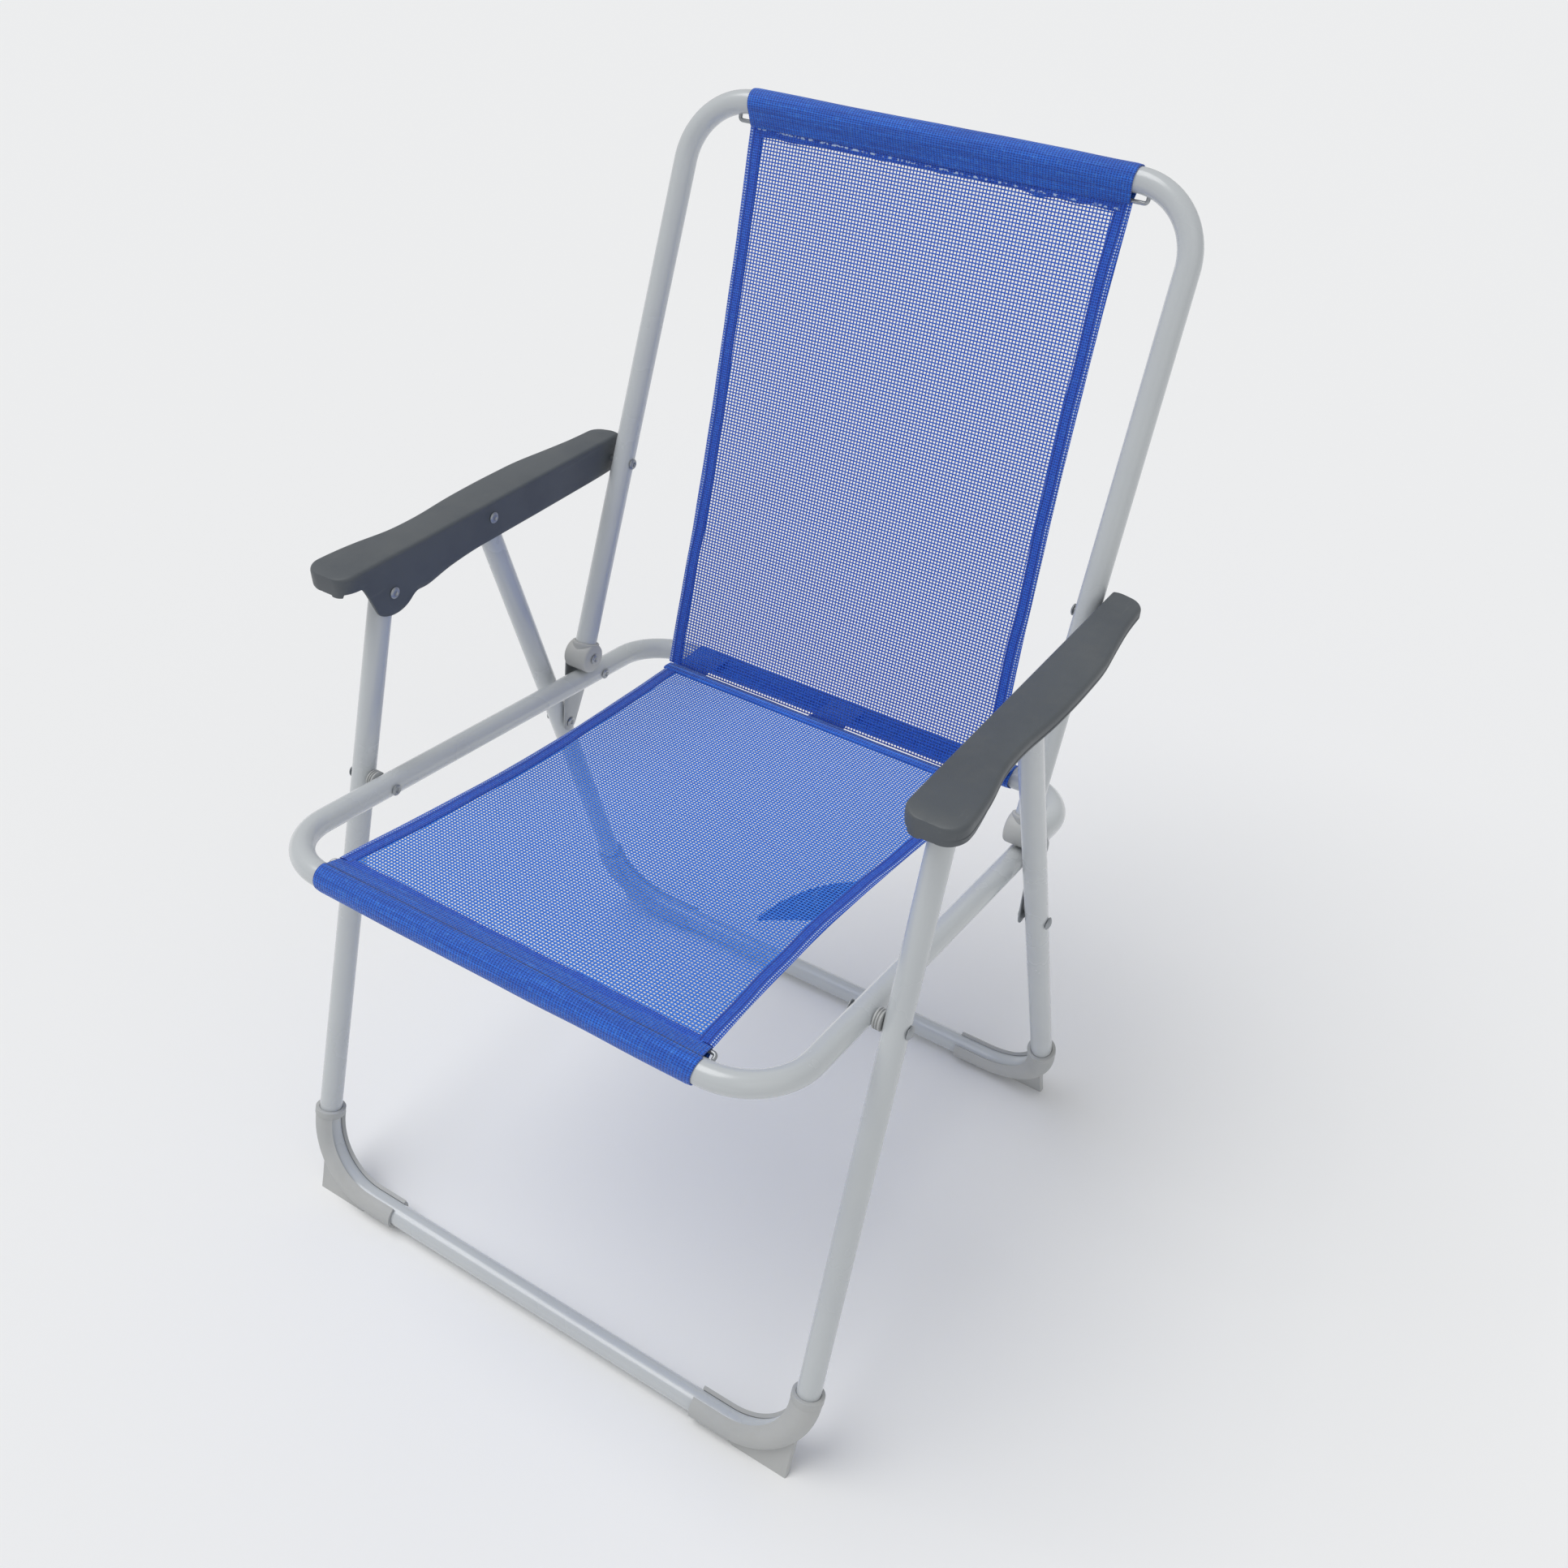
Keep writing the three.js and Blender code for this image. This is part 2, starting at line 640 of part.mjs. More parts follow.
// A sleeve round a tube and its wire, pushed along X.
const sleeveLip = wireRadius + 2 * gap + sleeveThickness;
function sleeveGeometry(tubeCentre, toWire) {
  const wireCentre = along(tubeCentre, toWire, wireOffset);
  const loop = (tubeR, wireR) => {
    const facing = Math.atan2(toWire[1], toWire[0]);
    const open = Math.acos((tubeR - wireR) / wireOffset);
    const spots = [];
    for (let k = 0; k <= 16; k++) {
      const angle = facing + open + ((2 * Math.PI - 2 * open) * k) / 16;
      spots.push([tubeCentre[0] + tubeR * Math.cos(angle), tubeCentre[1] + tubeR * Math.sin(angle)]);
    }
    for (let k = 0; k <= 6; k++) {
      const angle = facing - open + (2 * open * k) / 6;
      spots.push([wireCentre[0] + wireR * Math.cos(angle), wireCentre[1] + wireR * Math.sin(angle)]);
    }
    return spots;
  };
  const outer = loop(sleeveOuter, sleeveLip);
  const inner = loop(sleeveInner, sleeveLip - sleeveThickness);
  return slab(outer, -clothHalf, clothHalf, [inner]);
}
add("back_sleeve", sleeveGeometry(topTube, slingDown), darkCloth);
add("seat_sleeve", sleeveGeometry(frontBar, seatWireWay), darkCloth);
const sleeveEnd = wireOffset + sleeveLip;

// Flat cloth pieces: a strip between two places along a line, thick across it.
function strip(origin, way, normal, from, to, offset, thickness, fromX, toX) {
  const corner = (s, t) => along(along(origin, way, s), normal, t);
  const outline = [
    corner(from, offset),
    corner(to, offset),
    corner(to, offset + thickness),
    corner(from, offset + thickness),
  ];
  const turn = way[0] * normal[1] - way[1] * normal[0];
  return slab(turn > 0 ? outline : outline.reverse(), fromX, toX);
}
const panelHalf = clothHalf - hemWidth - gap;
const backEnd = slingLength - 3.2;
const backFrom = sleeveEnd + gap;
const halfCloth = clothThickness / 2;
const halfHem = hemThickness / 2;
add(
  "back_panel",
  strip(
    topTube, slingDown, slingNormal, backFrom, backEnd,
    -halfCloth, clothThickness, -panelHalf, panelHalf,
  ),
  cloth,
);
addPair(
  "back_hem",
  strip(
    topTube, slingDown, slingNormal, backFrom, backEnd,
    -halfHem, hemThickness, clothHalf - hemWidth, clothHalf,
  ),
  darkCloth,
);
const seatOffset = junctionOffset - hemThickness;
const seatWireAlong = wireOffset / Math.hypot(1, seatWireRise);
const seatWireAbove = seatWireAlong * seatWireRise;
const seatFrom = seatWireAlong + Math.sqrt(sleeveLip ** 2 - (seatOffset - seatWireAbove) ** 2) + gap;
add(
  "seat_panel",
  strip(
    frontBar, railBack, railNormal, seatFrom, junctionAlong - gap,
    seatOffset, clothThickness, -panelHalf, panelHalf,
  ),
  cloth,
);
addPair(
  "seat_hem",
  strip(
    frontBar, railBack, railNormal, seatFrom, junctionAlong - gap,
    seatOffset, hemThickness, clothHalf - hemWidth, clothHalf,
  ),
  darkCloth,
);
add(
  "junction_hem",
  strip(
    frontBar, railBack, railNormal, junctionAlong, junctionAlong + junctionWidth,
    seatOffset, hemThickness, -clothHalf, clothHalf,
  ),
  darkCloth,
);

// Rear sleeve: a loop round the rear cross tube, tied to the junction hem by three tongues.
const tongueWidth = 36;
const tongueThickness = 1.6;
function rearSleeveGeometry() {
  const outer = circlePoints(sleeveOuter, tubeSides, rearBar);
  const inner = circlePoints(sleeveInner, tubeSides, rearBar);
  const bore = solid(slab(inner, -clothHalf - 1, clothHalf + 1));
  let sleeve = solid(slab(outer, -clothHalf, clothHalf, [inner]));
  for (const fromX of [-clothHalf, -tongueWidth / 2, clothHalf - tongueWidth]) {
    const tongue = strip(
      frontBar, railBack, railNormal, junctionAlong + junctionWidth + gap, seatLength,
      seatOffset, tongueThickness, fromX, fromX + tongueWidth,
    );
    sleeve = sleeve.add(solid(tongue).subtract(bore));
  }
  return geometryOf(sleeve);
}
add("rear_sleeve", rearSleeveGeometry(), darkCloth);

// A blank leaf-shaped label under the seat's left hem.
const labelThickness = 0.8;
const labelFrom = 150;
const labelLength = 100;
const labelReach = 46;
function labelGeometry() {
  const edge = clothHalf - hemWidth / 2;
  const end = labelFrom + labelLength;
  const shape = new THREE.Shape();
  shape.moveTo(edge, labelFrom + 20);
  shape.quadraticCurveTo(edge - labelReach * 0.5, labelFrom, edge - labelReach, labelFrom + 4);
  shape.quadraticCurveTo(edge - labelReach * 0.95, end - 40, edge - labelReach * 0.5, end - 4);
  shape.quadraticCurveTo(edge - labelReach * 0.2, end, edge, end - 8);
  const geometry = new THREE.ExtrudeGeometry(shape, {
    depth: labelThickness,
    bevelEnabled: false,
    curveSegments: 5,
  });
  const offset = seatOffset - gap - labelThickness;
  geometry.applyMatrix4(
    new THREE.Matrix4().set(
      1, 0, 0, 0,
      0, railBack[0], railNormal[0], frontBar[0] + railNormal[0] * offset,
      0, railBack[1], railNormal[1], frontBar[1] + railNormal[1] * offset,
      0, 0, 0, 1,
    ),
  );
  return geometry;
}
add("label", labelGeometry(), darkCloth);

export default group;
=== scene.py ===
# A folding camp chair: bent tubes, moulded plastic and an open-mesh sling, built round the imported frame.
import json
import math

import bpy
import numpy as np
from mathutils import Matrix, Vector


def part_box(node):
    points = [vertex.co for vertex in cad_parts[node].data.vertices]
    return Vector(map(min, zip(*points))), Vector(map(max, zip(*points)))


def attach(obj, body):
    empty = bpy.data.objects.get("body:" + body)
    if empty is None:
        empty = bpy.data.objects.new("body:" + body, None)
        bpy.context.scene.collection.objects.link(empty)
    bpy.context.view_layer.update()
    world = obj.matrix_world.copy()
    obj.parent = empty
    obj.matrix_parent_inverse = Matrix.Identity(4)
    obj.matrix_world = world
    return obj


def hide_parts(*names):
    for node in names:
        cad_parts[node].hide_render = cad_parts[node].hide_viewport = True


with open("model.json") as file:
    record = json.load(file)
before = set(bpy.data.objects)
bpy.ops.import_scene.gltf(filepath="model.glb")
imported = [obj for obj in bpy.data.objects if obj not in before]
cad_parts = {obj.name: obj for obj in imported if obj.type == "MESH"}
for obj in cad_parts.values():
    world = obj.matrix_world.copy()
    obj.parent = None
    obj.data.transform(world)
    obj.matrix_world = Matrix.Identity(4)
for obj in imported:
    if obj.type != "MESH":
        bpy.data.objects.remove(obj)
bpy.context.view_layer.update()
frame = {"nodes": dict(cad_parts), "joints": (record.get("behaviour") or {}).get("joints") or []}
mm = 0.001


def inMm(**sizes):
    return {key: size * mm for key, size in sizes.items()}


tubes = {"sides": 40, "bendSteps": 22, **inMm(
    radius=9.5, wall=1.0, openDepth=12, legBend=60, seatFrontBend=52, seatRearBend=48, backBend=54)}
layers = inMm(rail=220.0, leg=245.7)

pivot = {j["name"]: np.array(j["pos_m"])[1:] for j in frame["joints"]}
armFront, armMiddle = pivot["front_leg_swing"], pivot["rear_leg_swing"]
collarAt, seatRear, topTube = pivot["link_swing"], pivot["seat_swing"], pivot["sling_swing"]


def corners(node):
    co = np.zeros(len(frame["nodes"][node].data.vertices) * 3, np.float32)
    frame["nodes"][node].data.vertices.foreach_get("co", co)
    return co.reshape(-1, 3).astype(float)


def middleOf(node):
    # the middle of a node's box in the side view
    low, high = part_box(node)
    return np.array([(low.y + high.y) / 2, (low.z + high.z) / 2])


def ringCentre(node, nearX, side=0):
    # the middle, in the side view, of the vertices nearer than nearX to the chair's centre plane
    co = corners(node)
    co = co[np.abs(co[:, 0]) < nearX]
    middle = (co[:, 1].max() + co[:, 1].min()) / 2
    co = co[co[:, 1] > middle] if side > 0 else co[co[:, 1] < middle] if side < 0 else co
    co = np.unique(np.round(co, 6), axis=0)
    return (co[:, 1:].max(0) + co[:, 1:].min(0)) / 2


def unit(v):
    return v / np.linalg.norm(v)


# half the length of each straight cross bar, inside its bends
straight = inMm(legs=187, seat=170)
frontFloor = ringCentre("front_leg_frame", straight["legs"])
rearFloor = ringCentre("rear_leg_frame", straight["legs"])
frontBar = ringCentre("seat_frame", straight["seat"], -1)
rearBar = ringCentre("seat_frame", straight["seat"], 1)
railBack = unit(rearBar - frontBar)
railNormal = np.array([-railBack[1], railBack[0]])
frontUp, rearUp = unit(armFront - frontFloor), unit(armMiddle - rearFloor)
uprightUp = unit(topTube - collarAt)
junction = middleOf("junction_hem")
slingDown = unit(junction - topTube)
slingBack = np.array([-slingDown[1], slingDown[0]])
slingLength = float(np.linalg.norm(junction - topTube))
print("frame read")


def grid(points, closeU=False, closeV=False, cap=False, uv=None):
    # points is (nu, nv, 3); faces join neighbours, and cap closes the first and last rows with one face each
    nu, nv = points.shape[:2]
    stepsU, stepsV = np.arange(nu if closeU else nu - 1), np.arange(nv if closeV else nv - 1)
    i, j = np.meshgrid(stepsU, stepsV, indexing="ij")
    i, j = i.ravel(), j.ravel()
    steps = [(i, j), (i + 1, j), (i + 1, j + 1), (i, j + 1)]
    faces = np.stack([(a % nu) * nv + b % nv for a, b in steps], 1)
    if uv is None:
        alongU = np.concatenate([[0], np.cumsum(np.linalg.norm(np.diff(points.mean(1), axis=0), axis=1))])
        ring = np.concatenate([points[nu // 2], points[nu // 2][:1]])
        alongV = np.concatenate([[0], np.cumsum(np.linalg.norm(np.diff(ring, axis=0), axis=1))])
        alongU = np.append(alongU, alongU[-1] + (alongU[-1] - alongU[-2] if nu > 1 else 0))
        spots = np.stack([np.stack([alongU[a], alongV[b]], -1) for a, b in steps], 1)
    else:
        spots = np.stack([uv[a % nu, b % nv] for a, b in steps], 1)
    ends = [list(range(nv - 1, -1, -1)), list(range((nu - 1) * nv, nu * nv))] if cap else []
    return {"points": points.reshape(-1, 3), "faces": faces, "uv": spots, "ends": ends}


def skin(points, uv=None):
    # a section closed round, with both ends closed
    return grid(points, False, True, True, uv)


def volumeOf(shell):
    p, f = shell["points"], shell["faces"]
    p = p - p.mean(0)
    total = np.einsum("ij,ij->i", p[f[:, 0]], np.cross(p[f[:, 1]], p[f[:, 2]])).sum()
    total += np.einsum("ij,ij->i", p[f[:, 0]], np.cross(p[f[:, 2]], p[f[:, 3]])).sum()
    for end in shell["ends"]:
        e = p[end]
        total += np.einsum("j,ij->i", e[0], np.cross(e[1:-1], e[2:])).sum()
    return total


def mirror(shells):
    return [{**s, "points": s["points"] * np.array([-1, 1, 1])} for s in shells]


def piece(name, shells, material, body, replaces=(), sharp=35, sheet=False):
    # joins the shells into one mesh whose faces all point outwards
    points, faces, spots, start = [], [], [], 0
    for shell in shells:
        turn = not sheet and volumeOf(shell) < 0
        f, uv = (shell["faces"][:, ::-1], shell["uv"][:, ::-1]) if turn else (shell["faces"], shell["uv"])
        points.append(shell["points"])
        faces += (f + start).tolist()
        spots.append(uv.reshape(-1, 2))
        for end in shell["ends"]:
            faces.append([v + start for v in (end[::-1] if turn else end)])
            spots.append(np.zeros((len(end), 2)))
        start += len(shell["points"])
    mesh = bpy.data.meshes.new(name)
    mesh.from_pydata(np.concatenate(points).tolist(), [], faces)
    layer = mesh.uv_layers.new(name="UVMap")
    layer.data.foreach_set("uv", np.concatenate(spots).astype(np.float32).ravel())
    mesh.polygons.foreach_set("use_smooth", np.ones(len(mesh.polygons), bool))
    mesh.update()
    mesh.set_sharp_from_angle(angle=math.radians(sharp))
    obj = bpy.data.objects.new(name, mesh)
    bpy.context.scene.collection.objects.link(obj)
    mesh.materials.append(material)
    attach(obj, body)
    if replaces:
        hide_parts(*replaces)
    return obj


def pair(name, node, shells, material, body, sharp=35):
    # the left piece and its mirror image, each in the place of its own CAD node
    for side, made in (("left", shells), ("right", mirror(shells))):
        piece(f"{name}_{side}", made, material, body, [f"{node}_{side}"], sharp)


def bentLine(path, radii, closed=False, steps=tubes["bendSteps"]):
    # the path's corners turned into arcs; gives points and tangents
    path = np.array(path, float)
    n = len(path)
    points, tangents = [], []
    order = range(n) if closed else range(1, n - 1)
    if not closed:
        points.append(path[:1])
        tangents.append(unit(path[1] - path[0])[None])
    for k, i in enumerate(order):
        a, b, c = path[i - 1], path[i], path[(i + 1) % n]
        into, out = unit(b - a), unit(c - b)
        turn = math.acos(np.clip(into @ out, -1, 1))
        axis = unit(np.cross(into, out))
        inward = np.cross(axis, into)
        begin = b - into * radii[k] * math.tan(turn / 2)
        angle = np.linspace(0, turn, steps + 1)[:, None]
        points.append(begin + radii[k] * (np.sin(angle) * into + (1 - np.cos(angle)) * inward))
        tangents.append(np.cos(angle) * into + np.sin(angle) * inward)
    if not closed:
        points.append(path[-1:])
        tangents.append(unit(path[-1] - path[-2])[None])
    return np.concatenate(points), np.concatenate(tangents)


def carried(points, tangents, plane, section, scale=None):
    # a section of (inward, across) offsets carried along a flat path; inward is plane x tangent
    inward = np.cross(plane, tangents)
    s = np.broadcast_to(section, (len(points),) + section.shape) if scale is None else section[None] * scale
    return points[:, None] + s[..., :1] * inward[:, None] + s[..., 1:] * plane


def ray(angle):
    return np.stack([np.cos(angle), np.sin(angle)], 1)


def circle(radius, sides, start=0.0, sweep=2 * math.pi, closed=True):
    angle = start + sweep * np.arange(sides) / (sides if closed else sides - 1)
    return radius * ray(angle)


def tube(path, radii, plane, closed=False):
    # a round section carried along the path; open ends turn in to the wall and stop a little way inside
    radius, wall, sides = tubes["radius"], tubes["wall"], tubes["sides"]
    points, tangents = bentLine(path, radii, closed)
    if closed:
        return grid(carried(points, tangents, plane, circle(radius, sides)), True, True)
    first, last = points[0], points[-1]
    rows = [carried(points, tangents, plane, circle(radius, sides))]
    edge, deep = 0.25 * wall, tubes["openDepth"]
    rings = [(0, radius - edge), (0, radius - wall + edge), (edge, radius - wall), (deep, radius - wall)]
    for end, way, tangent, front in ((first, tangents[0], tangents[:1], True),
                                     (last, -tangents[-1], tangents[-1:], False)):
        made = [carried((end + way * d)[None], tangent, plane, circle(r, sides)) for d, r in rings]
        made[0] -= way * edge * 0.5
        rows = made[::-1] + rows if front else rows + made
    return skin(np.concatenate(rows))


def at(x, side):
    return np.array([x, side[0], side[1]])


def turned(profile, centre, sides=28):
    # a profile of (x, radius) pairs turned about an axis along X, closed on the axis by small end faces
    p = np.array(profile, float)
    p[:, 1] = np.maximum(p[:, 1], 0.02 * mm)
    angle = 2 * math.pi * np.arange(sides) / sides
    ring = np.stack([np.zeros(sides), np.cos(angle), np.sin(angle)], 1)
    points = p[:, None, 1:] * ring[None]
    points[..., 0] = p[:, None, 0]
    points[..., 1] += centre[0]
    points[..., 2] += centre[1]
    return skin(points)


def ripple(x, seed, size, waves=5):
    # a sum of sines with seeded phases, used for the small waves of cloth
    random = np.random.default_rng(seed)
    total = np.zeros_like(x)
    for k in range(1, waves + 1):
        total += np.sin(x * k * random.uniform(14, 30) + random.uniform(0, 6.28)) / k
    return size * total


def feed(socket, value):
    if isinstance(value, bpy.types.NodeSocket):
        socket.id_data.links.new(value, socket)
    else:
        socket.default_value = value


def newNode(kind, values, targets=None):
    # a node in the tree that the values' sockets belong to, with the values fed into its inputs in turn
    socket = next(v for v in values if isinstance(v, bpy.types.NodeSocket))
    node = socket.id_data.nodes.new(kind)
    for target, value in zip(targets or range(len(values)), values):
        feed(node.inputs[target], value)
    return node


def calc(operation, *values):
    node = newNode("ShaderNodeMath", values)
    node.operation = operation
    return node.outputs[0]


def rangeMap(value, low, high, toLow=0.0, toHigh=1.0):
    node = newNode("ShaderNodeMapRange", (value, low, high, toLow, toHigh))
    node.interpolation_type = "SMOOTHSTEP"
    return node.outputs[0]


def mixColor(share, a, b):
    # inputs 6 and 7 and output 2 are the mix node's colour sockets
    node = newNode("ShaderNodeMix", (share, a, b), (0, 6, 7))
    node.data_type = "RGBA"
    return node.outputs[2]


def noise(vector, scale, detail=3.0, rough=0.55):
    node = newNode("ShaderNodeTexNoise", (vector, scale, detail, rough),
                   ("Vector", "Scale", "Detail", "Roughness"))
    return node.outputs["Fac"]


def axesOf(vector):
    return newNode("ShaderNodeSeparateXYZ", (vector,)).outputs


def stretched(vector, scale, turn=(0.0, 0.0, 0.0)):
    return newNode("ShaderNodeMapping", (vector, scale, turn), ("Vector", "Scale", "Rotation")).outputs[0]


def tint(red, green, blue):
    # a colour written as 0 to 255, as it should look, turned to the shader's linear scale
    linear = [((c / 255 + 0.055) / 1.055) ** 2.4 if c > 10 else c / 3294 for c in (red, green, blue)]
    return (*linear, 1.0)


def newGroup(name, inputs, outputs):
    tree = bpy.data.node_groups.new(name, "ShaderNodeTree")
    for direction, sockets in (("INPUT", inputs), ("OUTPUT", outputs)):
        for label, kind in sockets:
            tree.interface.new_socket(name=label, in_out=direction, socket_type="NodeSocket" + kind)
    return tree, tree.nodes.new("NodeGroupInput").outputs, tree.nodes.new("NodeGroupOutput").inputs


def placeGroup(group, **values):
    node = next(iter(values.values())).id_data.nodes.new("ShaderNodeGroup")
    node.node_tree = group
    for key, value in values.items():
        feed(node.inputs[key], value)
    return node.outputs


def weaveGroup():
    # two sets of parallel yarns: each is a ridge 1 - (2d/w)^2 across its width, and they take turns on top
    tree, i, o = newGroup(
        "openWeave", [("Place", "Vector"), *((key, "Float") for key in ("PitchU", "PitchV", "YarnU", "YarnV"))],
        [("Cover", "Float"), ("Height", "Float"), ("Tone", "Float"), ("Streak", "Float")])
    axes = axesOf(i["Place"])
    drift = noise(i["Place"], 60.0, 1.0)
    masks, ridges, counts = [], [], []
    for k, (pitch, yarn) in enumerate((("PitchU", "YarnU"), ("PitchV", "YarnV"))):
        waver = calc("MULTIPLY", drift, 0.04)
        count = calc("ADD", calc("DIVIDE", axes[k], i[pitch]), waver)
        away = calc("ABSOLUTE", calc("SUBTRACT", calc("FRACT", count), 0.5))
        half = calc("MULTIPLY", i[yarn], 0.5)
        inside, outside = calc("SUBTRACT", half, 0.03), calc("ADD", half, 0.03)
        masks.append(rangeMap(away, inside, outside, 1.0, 0.0))
        share = calc("DIVIDE", away, half)
        ridge = calc("SUBTRACT", 1.0, calc("MULTIPLY", share, share))
        ridges.append(calc("MAXIMUM", ridge, 0.0))
        counts.append(calc("FLOOR", count))
    odd = calc("MODULO", calc("ABSOLUTE", calc("ADD", *counts)), 2.0)
    first = calc("MULTIPLY", ridges[0], calc("ADD", 0.6, calc("MULTIPLY", odd, 0.4)))
    second = calc("MULTIPLY", ridges[1], calc("SUBTRACT", 1.0, calc("MULTIPLY", odd, 0.4)))
    feed(o["Cover"], calc("MAXIMUM", *masks))
    feed(o["Height"], calc("MAXIMUM", first, second))
    feed(o["Tone"], noise(i["Place"], 240.0, 2.0))
    threads = noise(stretched(i["Place"], (0.03, 1.0, 1.0)), 520.0, 2.0)
    feed(o["Streak"], rangeMap(threads, 0.3, 0.7))
    return tree


def grainGroup():
    # fine even grain for bump, with slow blotches and sparse long scuffs as masks
    tree, i, o = newGroup("fineGrain", [("Place", "Vector"), ("Scale", "Float")],
                          [("Height", "Float"), ("Blotch", "Float"), ("Scuff", "Float")])
    feed(o["Height"], noise(i["Place"], i["Scale"], 2.0, 0.6))
    feed(o["Blotch"], rangeMap(noise(i["Place"], 14.0, 4.0), 0.35, 0.7))
    scratches = noise(stretched(i["Place"], (1.0, 0.12, 1.0), (0.3, 0.5, 0.4)), 220.0, 2.0)
    feed(o["Scuff"], rangeMap(scratches, 0.66, 0.74))
    return tree


def dustGroup():
    # dust that gathers on upward faces in soft patches
    tree, i, o = newGroup("settledDust", [("Place", "Vector"), ("Up", "Float"), ("Amount", "Float")],
                          [("Mask", "Float")])
    patches = rangeMap(noise(i["Place"], 38.0, 5.0, 0.65), 0.42, 0.72)
    facing = rangeMap(i["Up"], 0.1, 0.9)
    feed(o["Mask"], calc("MULTIPLY", calc("MULTIPLY", patches, facing), i["Amount"]))
    return tree


openWeave, fineGrain, settledDust = weaveGroup(), grainGroup(), dustGroup()


def newMaterial(name):
    material = bpy.data.materials.new(name)
    material.use_nodes = True
    tree = material.node_tree
    shader = tree.nodes["Principled BSDF"]
    place = tree.nodes.new("ShaderNodeTexCoord")
    return material, tree, shader, place.outputs


def upOf(tree):
    return axesOf(tree.nodes.new("ShaderNodeNewGeometry").outputs["Normal"])[2]


def bumped(shader, height, distance):
    bump = newNode("ShaderNodeBump", (height, distance), ("Height", "Distance"))
    feed(shader.inputs["Normal"], bump.outputs[0])


def hardFinish(name, look):
    # paint, moulded plastic or plated steel: a colour with blotches, dust and scuffs, and a grained surface
    material, tree, shader, place = newMaterial(name)
    grain = placeGroup(fineGrain, Place=place["Object"], Scale=look["grain"])
    dust = placeGroup(settledDust, Place=place["Object"], Up=upOf(tree), Amount=look["dust"])
    color = mixColor(grain["Blotch"], tint(*look["color"]), tint(*look["second"]))
    color = mixColor(calc("MULTIPLY", grain["Scuff"], look["scuff"]), color, tint(*look["worn"]))
    color = mixColor(dust["Mask"], color, tint(*look["dustColor"]))
    feed(shader.inputs["Base Color"], color)
    rough = calc("ADD", rangeMap(grain["Blotch"], 0.0, 1.0, *look["rough"]),
                 calc("MULTIPLY", dust["Mask"], 0.3))
    feed(shader.inputs["Roughness"], rough)
    shader.inputs["Metallic"].default_value = look.get("metal", 0.0)
    shader.inputs["Coat Weight"].default_value = look.get("coat", 0.0)
    shader.inputs["Coat Roughness"].default_value = 0.18
    bumped(shader, grain["Height"], look["depth"])
    return material


def stripe(value, middle, half, soft):
    # 1 within "half" of the middle, falling to 0 over "soft"
    away = calc("ABSOLUTE", calc("SUBTRACT", value, middle))
    return rangeMap(away, half, half + soft, 1.0, 0.0)


def clothFinish(name, look):
    # yarns from the open weave on the piece's own UV, in metres; open cloth lets the holes through
    material, tree, shader, place = newMaterial(name)
    weave = placeGroup(openWeave, Place=place["UV"], PitchU=look["pitch"][0], PitchV=look["pitch"][1],
                       YarnU=look["yarn"][0], YarnV=look["yarn"][1])
    # painted shade: the yarns turn to the deep colour towards their edges and where one yarn dips under the
    # other, following the weave's height
    color = mixColor(weave["Height"], tint(*look["deep"]), tint(*look["color"]))
    lit = calc("MULTIPLY", rangeMap(weave["Tone"], 0.45, 0.8), look["fleck"])
    color = mixColor(lit, color, tint(*look["light"]))
    u, v, _ = axesOf(place["UV"])

    def marked(mask, share, shade):
        return mixColor(calc("MULTIPLY", mask, share), color, tint(*shade))

    def beyond(slope):
        # v measured from a slanting line: v - slope * u
        return calc("SUBTRACT", v, calc("MULTIPLY", u, slope))

    if "streak" in look:
        color = marked(weave["Streak"], look["streak"], look["deep"])
    for middle, half, share, shade in look.get("seams", ()):
        color = marked(stripe(v, middle, half, 0.5 * mm), share, shade)
    if "crease" in look:
        # painted shade: a thin dark line across the cloth, standing for the shade of a pressed crease: v =
        # start + slope * u
        start, slope, share = look["crease"]
        color = marked(stripe(beyond(slope), start, 0.5 * mm, 1.2 * mm), share, look["deep"])
    if "specks" in look:
        # the folded edge's light thread ends, strung along v = start + slope * u
        start, slope, half = look["specks"]
        broken = rangeMap(weave["Tone"], 0.5, 0.58)
        color = marked(stripe(beyond(slope), start, half, 0.5 * mm), broken, look["speckColor"])
    if "dots" in look:
        # the selvedge: light dots where a second, wider weave leaves its holes
        middle, half, pitchU, pitchV = look["dots"]
        lace = placeGroup(openWeave, Place=place["UV"], PitchU=pitchU, PitchV=pitchV, YarnU=0.5, YarnV=0.5)
        holes = calc("SUBTRACT", 1.0, lace["Cover"])
        color = marked(holes, stripe(v, middle, half, 0.2 * mm), look["dotColor"])
    feed(shader.inputs["Base Color"], color)
    feed(shader.inputs["Roughness"], rangeMap(weave["Tone"], 0.2, 0.8, *look["rough"]))
    shader.inputs["Sheen Weight"].default_value = look.get("sheen", 0.15)
    shader.inputs["Sheen Roughness"].default_value = 0.4
    if look.get("open"):
        feed(shader.inputs["Alpha"], weave["Cover"])
    bumped(shader, weave["Height"], look["depth"])
    return material


powderCoat = hardFinish("powderCoat", {
    "color": (193, 197, 199), "second": (190, 194, 197), "worn": (206, 208, 208), "dustColor": (186, 185, 180),
    "scuff": 0.03, "dust": 0.05, "grain": 900.0, "depth": 0.00002, "rough": (0.24, 0.28), "coat": 0.6})
slatePlastic = hardFinish("slatePlastic", {
    "color": (84, 89, 93), "second": (79, 84, 89), "worn": (112, 116, 118), "dustColor": (116, 115, 110),
    "scuff": 0.12, "dust": 0.12, "grain": 1500.0, "depth": 0.00012, "rough": (0.44, 0.54)})
greyPlastic = hardFinish("greyPlastic", {
    "color": (182, 183, 182), "second": (175, 177, 177), "worn": (198, 198, 196), "dustColor": (160, 157, 149),
    "scuff": 0.1, "dust": 0.2, "grain": 1300.0, "depth": 0.00008, "rough": (0.45, 0.55)})
